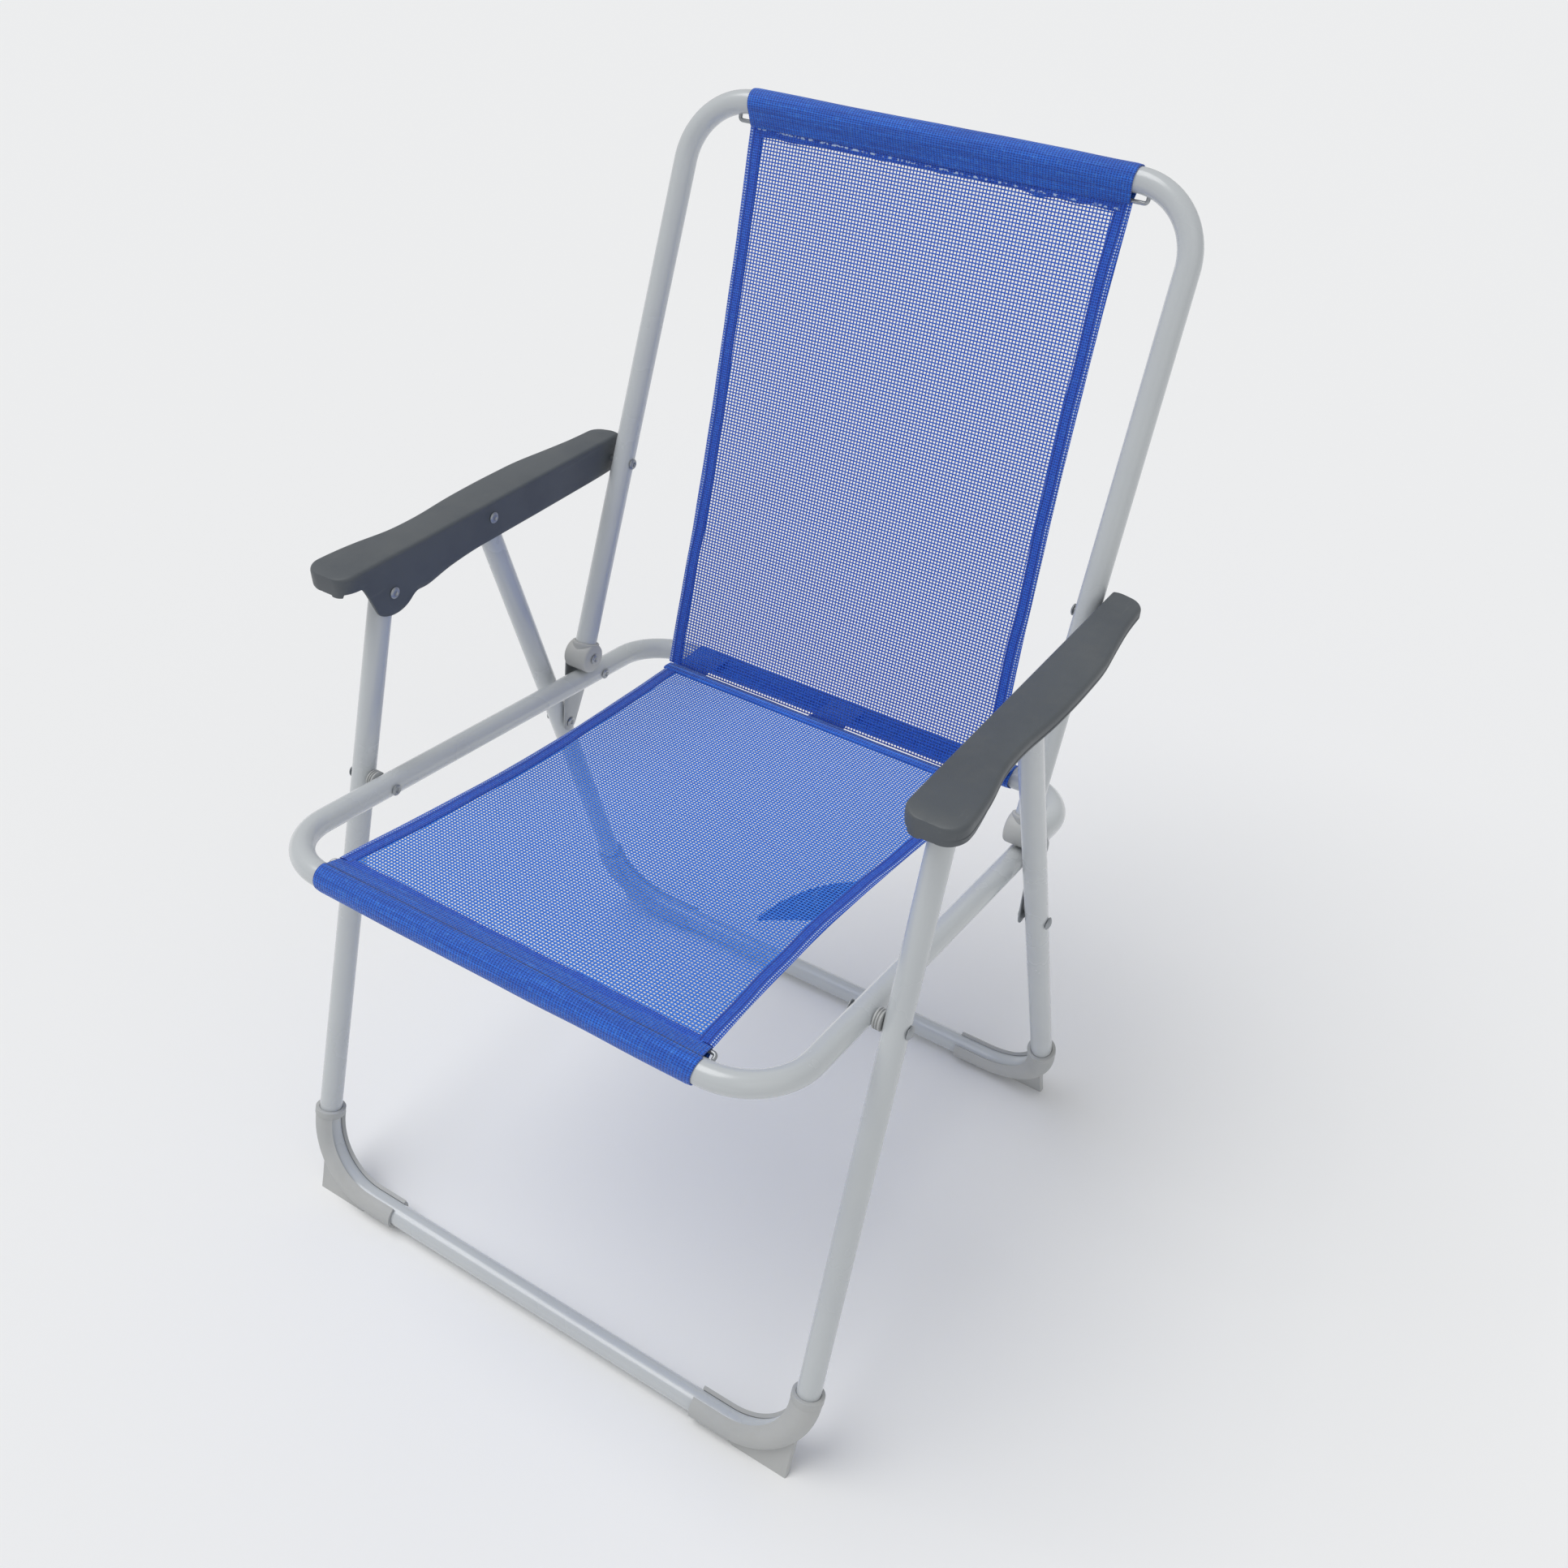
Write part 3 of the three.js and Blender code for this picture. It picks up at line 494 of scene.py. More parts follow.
zincSteel = hardFinish("zincSteel", {
    "color": (172, 175, 178), "second": (150, 154, 158), "worn": (200, 202, 204), "dustColor": (130, 127, 120),
    "scuff": 0.3, "dust": 0.15, "grain": 1800.0, "depth": 0.00005, "rough": (0.28, 0.42), "metal": 0.75})
meshLook = {"rough": (0.5, 0.7), "open": True}
bandLook = {"pitch": (2.4 * mm, 1.7 * mm), "yarn": (0.86, 0.7), "depth": 0.6 * mm, "sheen": 0.2}
# painted shade: the back cloth's yarn colours are a darker copy of the seat cloth's, for the back lying in
# shade
meshCloth = clothFinish("meshCloth", {
    **meshLook, "pitch": (2.9 * mm, 2.7 * mm), "yarn": (0.3, 0.38), "color": (26, 106, 232),
    "deep": (16, 70, 182), "light": (92, 152, 240), "fleck": 0.3, "depth": 0.5 * mm})
# painted light: the seat cloth's yarn colours are a lighter copy of the back cloth's, for the seat lit from
# above
seatMesh = clothFinish("seatMesh", {
    **meshLook, "pitch": (2.9 * mm, 2.9 * mm), "yarn": (0.34, 0.4), "color": (46, 138, 248),
    "deep": (28, 106, 230), "light": (130, 182, 252), "fleck": 0.35, "depth": 0.4 * mm,
    # painted shade of a crease across the seat: start, slope and share
    "crease": (262 * mm, -0.36, 0.5)})
bandCloth = clothFinish("bandCloth", {
    **bandLook, "color": (34, 120, 240), "deep": (6, 50, 150), "light": (92, 160, 246), "fleck": 0.4,
    "rough": (0.48, 0.66), "streak": 0.55})
frayedBand = clothFinish("frayedBand", {
    **bandLook, "color": (26, 98, 220), "deep": (6, 42, 142), "light": (92, 154, 240), "fleck": 0.3,
    "rough": (0.5, 0.68), "streak": 0.4, "specks": (20.5 * mm, 0.012, 0.5 * mm),
    "speckColor": (186, 208, 242)})
hemCloth = clothFinish("hemCloth", {
    "pitch": (2.0 * mm, 1.9 * mm), "yarn": (0.84, 0.76), "color": (28, 98, 222), "deep": (8, 44, 146),
    "light": (86, 150, 236), "fleck": 0.3, "rough": (0.5, 0.68), "depth": 0.6 * mm,
    "seams": ((1.6 * mm, 0.5 * mm, 0.55, (12, 44, 142)), (7.6 * mm, 0.5 * mm, 0.6, (12, 44, 142))),
    "dots": (10.4 * mm, 1.5 * mm, 2.3 * mm, 2.0 * mm), "dotColor": (196, 212, 240)})
print("materials made")


def uPath(halfWidth, end, cross):
    return [at(halfWidth, end), at(halfWidth, cross), at(-halfWidth, cross), at(-halfWidth, end)]


def planeOf(up):
    # the flat U's normal, turned so that plane x tangent points to the inside of the U
    return np.array([0.0, up[1], -up[0]])


# how far the tubes run past the pivots at their ends
past = 6.0 * mm
rail, leg = layers["rail"], layers["leg"]
seatPath = [at(rail, rearBar), at(rail, frontBar), at(-rail, frontBar), at(-rail, rearBar)]
seatBends = [tubes["seatRearBend"], tubes["seatFrontBend"], tubes["seatFrontBend"], tubes["seatRearBend"]]
for name, path, bends, plane, body in (
        ("front_leg", uPath(leg, armFront + frontUp * past, frontFloor), [tubes["legBend"]] * 2,
         planeOf(frontUp), "front_legs"),
        ("rear_leg", uPath(leg, armMiddle + rearUp * past, rearFloor), [tubes["legBend"]] * 2,
         planeOf(rearUp), "rear_legs"),
        ("back", uPath(rail, collarAt - uprightUp * past, topTube), [tubes["backBend"]] * 2,
         planeOf(-uprightUp), "back_frame"),
        ("seat", seatPath, seatBends, at(0, railNormal), "seat")):
    shell = tube(path, bends, plane, closed=name == "seat")
    piece(f"{name}_tube", [shell], powderCoat, body, [f"{name}_frame"])
print("tubes bent")

foot = {"slot": 74.0, **inMm(
    gap=0.3, wall=2.4, ring=7, bead=0.6, floorRun=28, finThick=6, finLength=50, finInset=0.8, lip=1.0)}


def footShells(cross, up):
    # a C-section carried round the bend, a beaded ring at the leg end, and a corner fin cut level at the floor
    inner, outer = tubes["radius"] + foot["gap"], tubes["radius"] + foot["gap"] + foot["wall"]
    bend, x = tubes["legBend"], layers["leg"]
    line = [at(x, cross + up * (bend + 3 * mm)), at(x, cross), at(x - bend - foot["floorRun"], cross)]
    points, tangents = bentLine(line, [bend])
    half = math.radians(foot["slot"] / 2)
    arc = 2 * (math.pi - half)
    outside, inside = circle(outer, 34, half, arc, False), circle(inner, 34, half, arc, False)[::-1]
    lipOut = outside[[0, -1]] * (1 + foot["lip"] / outer)
    section = np.concatenate([lipOut[:1] * 0.985, outside[1:-1], lipOut[1:] * 0.985, inside])
    plane = planeOf(up)
    shells = [skin(carried(points, tangents, plane, section))]
    ringTop, bead = cross + up * (bend + foot["ring"]), foot["bead"]
    rows = [(0, inner), (0, outer), (0.5 * mm, outer + bead), (foot["ring"] - 1 * mm, outer + bead),
            (foot["ring"], outer + 0.1 * mm), (foot["ring"], inner)]
    down = np.array([[0.0, -up[0], -up[1]]])
    rings = [carried((at(x, ringTop) + down[0] * d)[None], down, plane, circle(r, 40)) for d, r in rows]
    shells.append(grid(np.concatenate(rings), True, True))
    # the fin's outline as (x, rise), with the lower edge at the floor for each depth across the fin
    reach = bend + inner + 0.5 * foot["wall"]
    top = math.acos((bend - foot["finInset"]) / reach)
    angle = np.linspace(-math.pi / 2, -top, 16)
    curve = np.stack([x - bend + reach * np.cos(angle), bend + reach * np.sin(angle)], 1)
    layersAcross = []
    depths = np.array([-1, -0.82, -0.6, 0.6, 0.82, 1]) * foot["finThick"] / 2
    for depth, inset in zip(depths, np.array([0.8, 0.25, 0, 0, 0.25, 0.8]) * mm):
        floorRise = -(cross[1] + depth * up[0]) / up[1] + 0.01 * mm
        right, left = x - foot["finInset"] - inset, x - foot["finInset"] - foot["finLength"] + inset
        low = np.array([[right, floorRise * 0.3], [right, floorRise * 0.7], [right, floorRise],
                        [left, floorRise], [left - 3 * mm, floorRise + 3.2 * mm]])
        outline = np.concatenate([low, curve])
        flat = np.stack([outline[:, 0], cross[0] + outline[:, 1] * up[0] - depth * up[1],
                         cross[1] + outline[:, 1] * up[1] + depth * up[0]], 1)
        layersAcross.append(flat)
    shells.append(skin(np.array(layersAcross)))
    return shells


for stem, cross, up, body in (("front_foot", frontFloor, frontUp, "front_legs"),
                              ("rear_foot", rearFloor, rearUp, "rear_legs")):
    pair(f"{stem}_cap", stem, footShells(cross, up), greyPlastic, body, 50)
print("feet made")

arm = {"slope": -0.0588, "stations": 130, **inMm(
    skin=2.5, wall=2.7, rim=10, nose=14, topAbove=33.2, lobe=16.5, lobeHalf=23, innerRound=3.0,
    outerRound=3.6, endWall=2.6)}
# the outline in mm, as (way from the nose, reach to the outer edge): widest at the nose, waisted, a gentle
# swelling, then a taper to the back
armOutline = [(0, 44), (22, 44), (50, 41), (78, 34.5), (110, 34), (147, 37.5), (185, 38.4), (230, 37.6),
              (257, 33.4), (292, 28.6)]
armTail = 27.0
# how far the inner wall hangs, in mm, as (way behind the front rivet, depth)
armHang = [(0, 30), (30, 42), (60, 35.5), (90, 33), (170, 32.5), (250, 31.5)]


def softened(values, window):
    # a running average, with the ends held
    return np.convolve(np.pad(values, len(window) // 2, mode="edge"), window / window.sum(), "valid")


def roundOff(away, reach, depth, power=2):
    # how far an end is cut back at a distance "away" from it: a quarter of an oval, reach long and depth deep
    return depth * (1 - np.sqrt(np.clip(1 - (1 - np.clip(away / reach, 0, 1)) ** power, 0, 1)))


def armShell():
    # a closed section (wall, rounded top, outer rim and the hollow under it) carried from the nose to the back
    low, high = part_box("armrest_left")
    front, back, inner = low.y, high.y, low.x
    share = np.linspace(0, 1, arm["stations"])
    y = front + (back - front) * (0.5 - 0.5 * np.cos(math.pi * share)) ** 0.9
    y[0], y[-1] = front, back
    d = (y - front) / mm
    length = d[-1]
    fine = np.linspace(0, length, 400)
    outline = np.array(armOutline + [(length, armTail)])
    outer = np.interp(d, fine, softened(np.interp(fine, *outline.T), np.hanning(61)))
    noseCut, tailCut = roundOff(d, 15, 15, 2.2), roundOff(length - d, 11, 11)
    xo = inner + (outer - noseCut - tailCut) * mm
    xi = inner + noseCut * 0.85 * mm
    droop = 2.2 * mm * (1 - np.clip(d / 16, 0, 1)) ** 2
    top = armFront[1] + arm["topAbove"] + (y - front) * arm["slope"] - droop
    rim = np.interp(d, [0, 20, 40, length], [arm["nose"], arm["nose"], arm["rim"], arm["rim"]])
    # the inner wall: a shallow nose, a lobe round the front rivet, a waist, a long run and a rounded tail
    pivotAt, lobeHalf = (armFront[0] - front) / mm, arm["lobeHalf"] / mm
    near = np.clip(1 - ((d - pivotAt) / lobeHalf) ** 2, 0, 1)
    run = np.array([(0, 13), (20, 14)] + [(pivotAt + a, depth) for a, depth in armHang] + [(length, 30)])
    base = np.interp(d, fine, softened(np.interp(fine, d, np.interp(d, *run.T)), np.hanning(41)))
    lobeDepth = (arm["topAbove"] + arm["lobe"] * np.sqrt(near)) / mm
    hang = np.where(np.abs(d - pivotAt) < lobeHalf, np.maximum(base, lobeDepth * (near > 0.02)), base)
    hang = np.where(d < pivotAt - lobeHalf, np.interp(d, [0, pivotAt - lobeHalf], [13, 15]), hang)
    hang = np.interp(d, fine, softened(np.interp(fine, d, hang), np.ones(13)))
    wallLow = top - (hang - roundOff(length - d, 12, 9)) * mm
    # the two ends are solid for the thickness of a wall
    endWall = arm["endWall"] / mm
    solid = np.clip(np.clip((endWall - d) / 0.4, 0, 1) + np.clip((d - length + endWall) / 0.4, 0, 1), 0, 1)
    under = np.maximum(arm["skin"], solid * (rim - 0.3 * mm))
    w, width = arm["wall"], xo - xi
    rad, rad2 = np.minimum(arm["innerRound"], width * 0.3), np.minimum(arm["outerRound"], width * 0.3)
    columns = []

    def add(x, z):
        columns.append(np.stack([np.broadcast_to(x, y.shape), y, np.broadcast_to(z, y.shape)], 1))

    for s in np.linspace(0, 1, 9):
        add(xi - 0.35 * mm * math.sin(math.pi * s), wallLow + 0.8 * mm + (top - rad - wallLow - 0.8 * mm) * s)
    for a in np.linspace(0, math.pi / 2, 7)[1:]:
        add(xi + rad * (1 - math.cos(a)), top - rad + rad * math.sin(a))
    for s in np.linspace(0, 1, 14)[1:-1]:
        crown = 1.1 * mm * math.sin(math.pi * s)
        add(xi + rad + (width - rad - rad2) * s, top + crown * 0.5 - 0.6 * mm * s)
    for a in np.linspace(0, math.pi / 2, 8):
        add(xo - rad2 + rad2 * math.sin(a), top - 0.6 * mm - rad2 + rad2 * math.cos(a))
    # the parting line: a small step half-way down the rim
    half = (rim - rad2) * 0.45
    for depth, out in ((0, 0.0), (0.4, -0.5), (1.0, -0.5), (1.4, -0.1)):
        add(xo + out * mm, top - 0.6 * mm - rad2 - (half + depth * mm))
    add(xo - 0.2 * mm, top - rim)
    add(xo - 0.8 * mm, top - rim - 0.5 * mm)
    lip = np.minimum(w, width * 0.35)
    add(xo - lip + 0.5 * mm, top - rim - 0.5 * mm)
    add(xo - lip, top - rim)
    for s in np.linspace(0, 1, 4)[1:]:
        add(xo - lip - 0.4 * mm * s, top - rim + (rim - under - 0.6 * mm) * s)
    for s in np.linspace(0, 1, 8)[1:]:
        add(xo - lip - 1.5 * mm - (width - lip - w - 2.0 * mm) * s, top - under - 0.8 * mm)
    wallIn = xi + np.minimum(w, width * 0.35)
    for s in np.linspace(0, 1, 9):
        high = top - under - 2.0 * mm
        add(wallIn, high + (np.minimum(wallLow + 0.8 * mm, high) - high) * s)
    add(wallIn - 0.7 * mm, np.minimum(wallLow, top - under - 2.2 * mm))
    add(xi + 0.7 * mm, np.minimum(wallLow, top - under - 2.2 * mm))
    return skin(np.stack(columns, 1))


pair("armrest_grip", "armrest", [armShell()], slatePlastic, "armrests", 40)
print("armrests made")


rivet = inMm(head=4.7, shank=2.5, headDepth=1.7, tailDepth=1.0)


def rivetShell(node, domed=False):
    # a tubular rivet: a rolled head with a hollow middle, a shank and a flared tail; or one domed outer head
    low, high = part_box(node)
    head, shank, long = rivet["head"], rivet["shank"], high.x - low.x
    if domed:
        # (distance back from the outer end in mm, share of the head's radius)
        dome = [(2.6, 1.12), (2.1, 1.15), (1.2, 0.95), (0.5, 0.62), (0.1, 0.28), (0, 0)]
        profile = [(0, 0), (0, shank), (long - 2.6 * mm, shank)]
        profile += [(long - x * mm, head * r) for x, r in dome]
    else:
        deep, tail = rivet["headDepth"], long - rivet["tailDepth"]
        rolled = [(1.3, 0), (1.2, 1.5), (0.3, 1.9), (0.02, 2.5), (0.1, 3.2), (0.55, 4.1)]
        flared = [(0.4, 4.1), (0, 3.3), (0.1, 2.2), (0.8, 1.6), (0.9, 0)]
        profile = [(x * mm, r * mm) for x, r in rolled]
        profile += [(1.1 * mm, head), (deep, head * 0.97), (deep, shank), (tail, shank), (tail, 4.0 * mm)]
        profile += [(long - x * mm, r * mm) for x, r in flared]
    return turned([(low.x + x, r) for x, r in profile], middleOf(node))


plainRivets = {"armrests": ["armrest_front_rivet", "armrest_middle_rivet"],
               "back_frame": ["armrest_rear_rivet", "collar_screw"],
               "seat": ["seat_front_rivet", "seat_rear_rivet"],
               "links": ["link_stud"]}
domedRivets = {"front_legs": ["front_leg_rivet"], "rear_legs": ["rear_leg_rivet"]}
for fixings, domed in ((plainRivets, False), (domedRivets, True)):
    for body, stems in fixings.items():
        for stem in stems:
            pair(f"{stem}_turned", stem, [rivetShell(f"{stem}_left", domed)], zincSteel, body, 50)

collar = inMm(half=12.1, foot=13.4, top=13, bead=0.5, tail=3)


def collarShells():
    # a sleeve round the upright with a rounded lip, and a cross barrel that rests on the rail
    x, h, top, low = layers["rail"], collar["half"], collar["top"], -collar["tail"]
    sleeve, bore = h - collar["bead"], tubes["radius"] + 0.3 * mm
    rows = [(low, sleeve - 0.6 * mm), (0, sleeve), (top - 3.2 * mm, sleeve), (top - 2.6 * mm, h),
            (top - 0.6 * mm, h), (top, sleeve - 0.3 * mm), (top, bore), (low, bore)]
    tangent, plane = np.array([[0.0, uprightUp[0], uprightUp[1]]]), planeOf(-uprightUp)
    rings = [carried(at(x, collarAt + uprightUp * d)[None], tangent, plane, circle(r, 40)) for d, r in rows]
    # half of the barrel's outline: (distance in from its end, distance below its full radius)
    rounded = [(0, 2.2 * mm), (0.6 * mm, 0.8 * mm), (2 * mm, 0)]
    f = collar["foot"]
    barrel = [(x - h, 0)] + [(x - h + a, f - b) for a, b in rounded]
    barrel += [(x + h - a, f - b) for a, b in rounded[::-1]] + [(x + h, 0)]
    return [grid(np.concatenate(rings), True, True), turned(barrel, collarAt, 44)]


pair("collar_cap", "collar", collarShells(), greyPlastic, "back_frame", 45)


def bushingShell():
    # a short spool with two turned grooves
    low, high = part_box("spacer_bushing_left")
    r, a, w = (high.y - low.y) / 2, low.x, high.x - low.x
    # (share of the length, share of the radius)
    shape = [(0, 0), (0, 0.93), (0.06, 1), (0.24, 1), (0.3, 0.86), (0.4, 0.86), (0.46, 1), (0.56, 1),
             (0.62, 0.86), (0.72, 0.86), (0.78, 1), (0.94, 1), (1, 0.93), (1, 0)]
    return turned([(a + s * w, q * r) for s, q in shape], middleOf("spacer_bushing_left"), 36)


pair("spacer_spool", "spacer_bushing", [bushingShell()], greyPlastic, "seat")
plate = {"arcSteps": 14, **inMm(radius=8.5)}


def plateShell():
    # the hull of three circles about the pivots, with a rolled edge
    centres = [collarAt, middleOf("link_stud_left"), seatRear]
    outline = []
    for k in range(3):
        here, following, before = centres[k], centres[(k + 1) % 3], centres[k - 1]
        start = math.atan2(before[0] - here[0], here[1] - before[1])
        end = math.atan2(here[0] - following[0], following[1] - here[1])
        end += 2 * math.pi * (end < start)
        angle = np.linspace(start, end, plate["arcSteps"])
        outline.append(ray(angle) * plate["radius"] + here)
    outline = np.concatenate(outline)
    middle = outline.mean(0)
    low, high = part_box("link_plate_left")
    a, w = low.x, high.x - low.x
    # (share of the thickness, share of the outline's size)
    rows = [(0.0, 0.6), (0.0, 0.93), (0.15, 0.975), (0.35, 1.0), (0.65, 1.0), (0.85, 0.975), (1.0, 0.93),
            (1.0, 0.6)]
    points = [np.column_stack([np.full(len(outline), a + s * w), middle + (outline - middle) * q])
              for s, q in rows]
    return skin(np.array(points))


pair("link_plate_pressed", "link_plate", [plateShell()], zincSteel, "links", 30)
print("fixings made")

cloth = {"wireRise": 0.42, "columns": 90, **inMm(
    half=166, hem=12.5, hemThick=1.9, wire=1.6, wireOffset=15, wireBend=2.6, backWireReach=177,
    seatWireReach=170, backWaist=4, seatWaist=9, backBow=3, seatSag=5, dipLength=60, dip=1.5, meshInset=5,
    meshThick=0.45)}
# a loop of cloth: round the tube ("big"), and "far" away round the wire or flat ("small")
wiredLoop = {"far": cloth["wireOffset"], **inMm(big=11.2, small=3.5, thick=1.3, wave=0.22)}
rearLoop = inMm(far=8, big=11.0, small=6.5, thick=1.2, wave=0.2)
seatWireWay = unit(railBack + railNormal * cloth["wireRise"])


def wireShell(centre, way, reach):
    # a rod along the bar with both ends turned back to the tube
    far = centre + way * cloth["wireOffset"]
    end = centre + way * (tubes["radius"] + 1.0 * mm)
    path = [at(reach, end), at(reach, far), at(-reach, far), at(-reach, end)]
    points, tangents = bentLine(path, [cloth["wireBend"]] * 2, steps=8)
    plane = np.array([0.0, way[1], -way[0]])
    return skin(carried(points, tangents, plane, circle(cloth["wire"], 12)))


for stem, bar, way, body in (("back", topTube, slingDown, "back_sling"),
                             ("seat", frontBar, seatWireWay, "seat")):
    shell = wireShell(bar, way, cloth[f"{stem}WireReach"])
    piece(f"{stem}_wire_rod", [shell], zincSteel, body, [f"{stem}_wire"])


def teardrop(centre, way, far, big, small, around=64):
    # the loop that wraps a big circle and a small one "far" away along "way"; evenly stepped along its length
    facing = math.atan2(way[1], way[0])
    open_ = math.acos((big - small) / far)
    a = facing + open_ + np.linspace(0, 2 * (math.pi - open_), 200)
    b = facing + np.linspace(-open_, open_, 80)
    first, second = centre + big * ray(a), centre + way * far + small * ray(b)
    loop = np.concatenate([first, second, first[:1]])
    run = np.concatenate([[0], np.cumsum(np.linalg.norm(np.diff(loop, axis=0), axis=1))])
    even = np.linspace(0, run[-1], around + 1)[:-1]
    return np.stack([np.interp(even, run, loop[:, k]) for k in (0, 1)], 1), even


def sleeveShell(centre, way, halfWidth, seed, fit, flare=0.0):
    # the teardrop loop carried along X, outer and inner face joined round both ends, with slight waves
    outer, run = teardrop(centre, way, fit["far"], fit["big"], fit["small"])
    thin = max(fit["small"] - fit["thick"], 0.25 * mm)
    inner, _ = teardrop(centre, way, fit["far"], fit["big"] - fit["thick"], thin)
    x = np.linspace(-halfWidth, halfWidth, cloth["columns"])
    rows, spots = [], []
    normal = outer - inner
    normal /= np.linalg.norm(normal, axis=1)[:, None]
    for loop, xs, waveShare in ((outer, x, 1.0), (inner, x[::-1], 0.0)):
        for place in xs:
            swell = fit["wave"] * np.sin(run * 300 + place * 25 + seed) * 0.4
            swell = waveShare * (swell + ripple(np.full(1, place), seed, fit["wave"]))
            edge = 0.4 * mm * (abs(place) > halfWidth - 0.5 * mm) * waveShare
            skew = flare * np.sin(run * 55 + seed) * (place / halfWidth) ** 5
            rows.append(np.column_stack([place + skew, loop + normal * (swell - edge)[:, None]]))
            spots.append(np.column_stack([np.full(len(loop), place), run]))
    return grid(np.array(rows), True, True, uv=np.array(spots))


def sleeve(name, centre, way, halfWidth, seed, fit, body, node, flare=0.0):
    shell = sleeveShell(centre, way, halfWidth, seed, fit, flare)
    return piece(name, [shell], bandCloth, body, [node], 60)


backSleeve = sleeve("back_sleeve_cloth", topTube, slingDown, cloth["half"], 1, wiredLoop, "back_sling",
                    "back_sleeve", 1.2 * mm)
seatSleeve = sleeve("seat_sleeve_cloth", frontBar, seatWireWay, cloth["half"], 2, wiredLoop, "seat",
                    "seat_sleeve", 1.5 * mm)

# where each cloth starts and ends, measured from its bar
backFrom, backTo = 16.5 * mm, slingLength - 5.0 * mm
seatFrom, seatTo = 15.5 * mm, float((junction - frontBar) @ railBack) - 5 * mm
seatLevel = float((junction - frontBar) @ railNormal) - 0.3 * mm


def placed(x, bar, s, along, lift, normal):
    return np.concatenate([x[..., None], bar + s[..., None] * along + lift[..., None] * normal], -1)


def belly(x, s, low, high, depth):
    # depth * sin(pi t) down the cloth, times 1 - (x / half)^2 across it
    t = np.clip((s - low) / (high - low), 0, 1)
    return depth * np.sin(math.pi * t) * np.clip(1 - (x / cloth["half"]) ** 2, 0, 1)


def backSpot(x, s, proud=0.0):
    # a place on the back cloth: bowed back in the middle, flat at its edges
    return placed(x, topTube, s, slingDown, belly(x, s, backFrom, backTo, cloth["backBow"]) + proud, slingBack)


def seatSpot(x, s, proud=0.0):
    # a place on the seat cloth: it sags in the middle and dips to the front bar
    dip = (1 - np.clip(s / cloth["dipLength"], 0, 1)) ** 2 * cloth["dip"]
    lift = belly(x, s, seatFrom, seatTo, -cloth["seatSag"]) + proud + (seatLevel - dip)
    return placed(x, frontBar, s, railBack, lift, railNormal)


def halfAt(s, low, high, waist):
    t = np.clip((s - low) / (high - low), 0, 1)
    return cloth["half"] - waist * np.sin(math.pi * t)


def panel(name, spot, low, high, waist, material, body, node):
    # the open mesh itself, one surface with a thickness
    s, across = np.linspace(low, high, 90), np.linspace(-1, 1, 70)
    half = halfAt(s, low, high, waist) - cloth["meshInset"]
    x = half[:, None] * across[None]
    ss = np.broadcast_to(s[:, None], x.shape)
    shell = grid(spot(x, ss), uv=np.stack([x, ss], -1))
    made = piece(name, [shell], material, body, [node], sheet=True)
    solid = made.modifiers.new("thickness", "SOLIDIFY")
    solid.thickness, solid.offset = cloth["meshThick"], 0.0


def oval(sides, powerAcross, powerUp):
    # a flat oval section: sign(cos a) |cos a|^p across and sign(sin a) |sin a|^q up
    angle = np.linspace(0, 2 * math.pi, sides + 1)[:-1]
    c, s = np.cos(angle), np.sin(angle)
    return np.sign(c) * np.abs(c) ** powerAcross, np.sign(s) * np.abs(s) ** powerUp


def hemShell(spot, low, high, waist, seed):
    # a folded edge: a flat oval section carried down the cloth's side, slightly uneven in width
    s = np.linspace(low, high, 150)
    outer = halfAt(s, low, high, waist) + ripple(s, seed, 0.18 * mm)
    inner = outer - cloth["hem"] + ripple(s, seed + 9, 0.55 * mm)
    across, up = oval(24, 0.55, 0.6)
    lift = up * cloth["hemThick"] / 2
    x = (outer + inner)[:, None] / 2 + (outer - inner)[:, None] / 2 * across[None]
    ss = np.broadcast_to(s[:, None], x.shape)
    fold = 0.25 * mm * np.sin(across * 5)[None] * np.sign(lift)[None]
    points = spot(x, ss, lift[None] + fold)
    return skin(points, np.stack([ss, x - inner[:, None]], -1))


for stem, spot, low, high, waist, body, seed in (
        ("back_hem", backSpot, backFrom, backTo, cloth["backWaist"], "back_sling", 11),
        ("seat_hem", seatSpot, seatFrom, seatTo, cloth["seatWaist"], "seat", 17)):
    left = hemShell(spot, low, high, waist, seed)
    right = mirror([hemShell(spot, low, high, waist, seed + 3)])
    piece(f"{stem}_fold_left", [left], hemCloth, body, [f"{stem}_left"], 60)
    piece(f"{stem}_fold_right", right, hemCloth, body, [f"{stem}_right"], 60)


def leaf(upper, under, uv):
    # a thin closed strip from its two faces
    faces = np.concatenate([upper, under[:, ::-1]], 1)
    return skin(faces, np.concatenate([uv, uv[:, ::-1]], 1))


bands = {"back": inMm(start=12, reach=11.5, ragged=0.6, proud=-0.9, half=160),
         "seat": inMm(start=11, reach=8.5, ragged=0.15, proud=0.9, half=158),
         "rows": 10, "columns": 160, "thick": 0.6 * mm}


def bandShell(spot, fit, seed):
    # a strip across the cloth whose free edge is cut unevenly; two faces a little apart
    x = np.linspace(-fit["half"], fit["half"], bands["columns"])[:, None]
    free = fit["reach"] + ripple(x, seed, fit["ragged"], 9) + ripple(x * 4, seed + 2, 0.6 * fit["ragged"], 6)
    s = fit["start"] + free * np.linspace(0, 1, bands["rows"])[None]
    xx = np.broadcast_to(x, s.shape)
    lift = fit["proud"] + ripple(xx, seed + 5, 0.12 * mm)
    thick = bands["thick"] * np.sign(fit["proud"])
    return leaf(spot(xx, s, lift), spot(xx, s, lift - thick), np.stack([xx, s], -1))


backBand = piece("back_fold_band", [bandShell(backSpot, bands["back"], 5)], frayedBand, "back_sling",
                 sharp=60)
seatBand = piece("seat_fold_band", [bandShell(seatSpot, bands["seat"], 8)], hemCloth, "seat",
                 sharp=60)
roll = {"columns": 150, **inMm(wide=6.2, thick=1.5, past=1)}


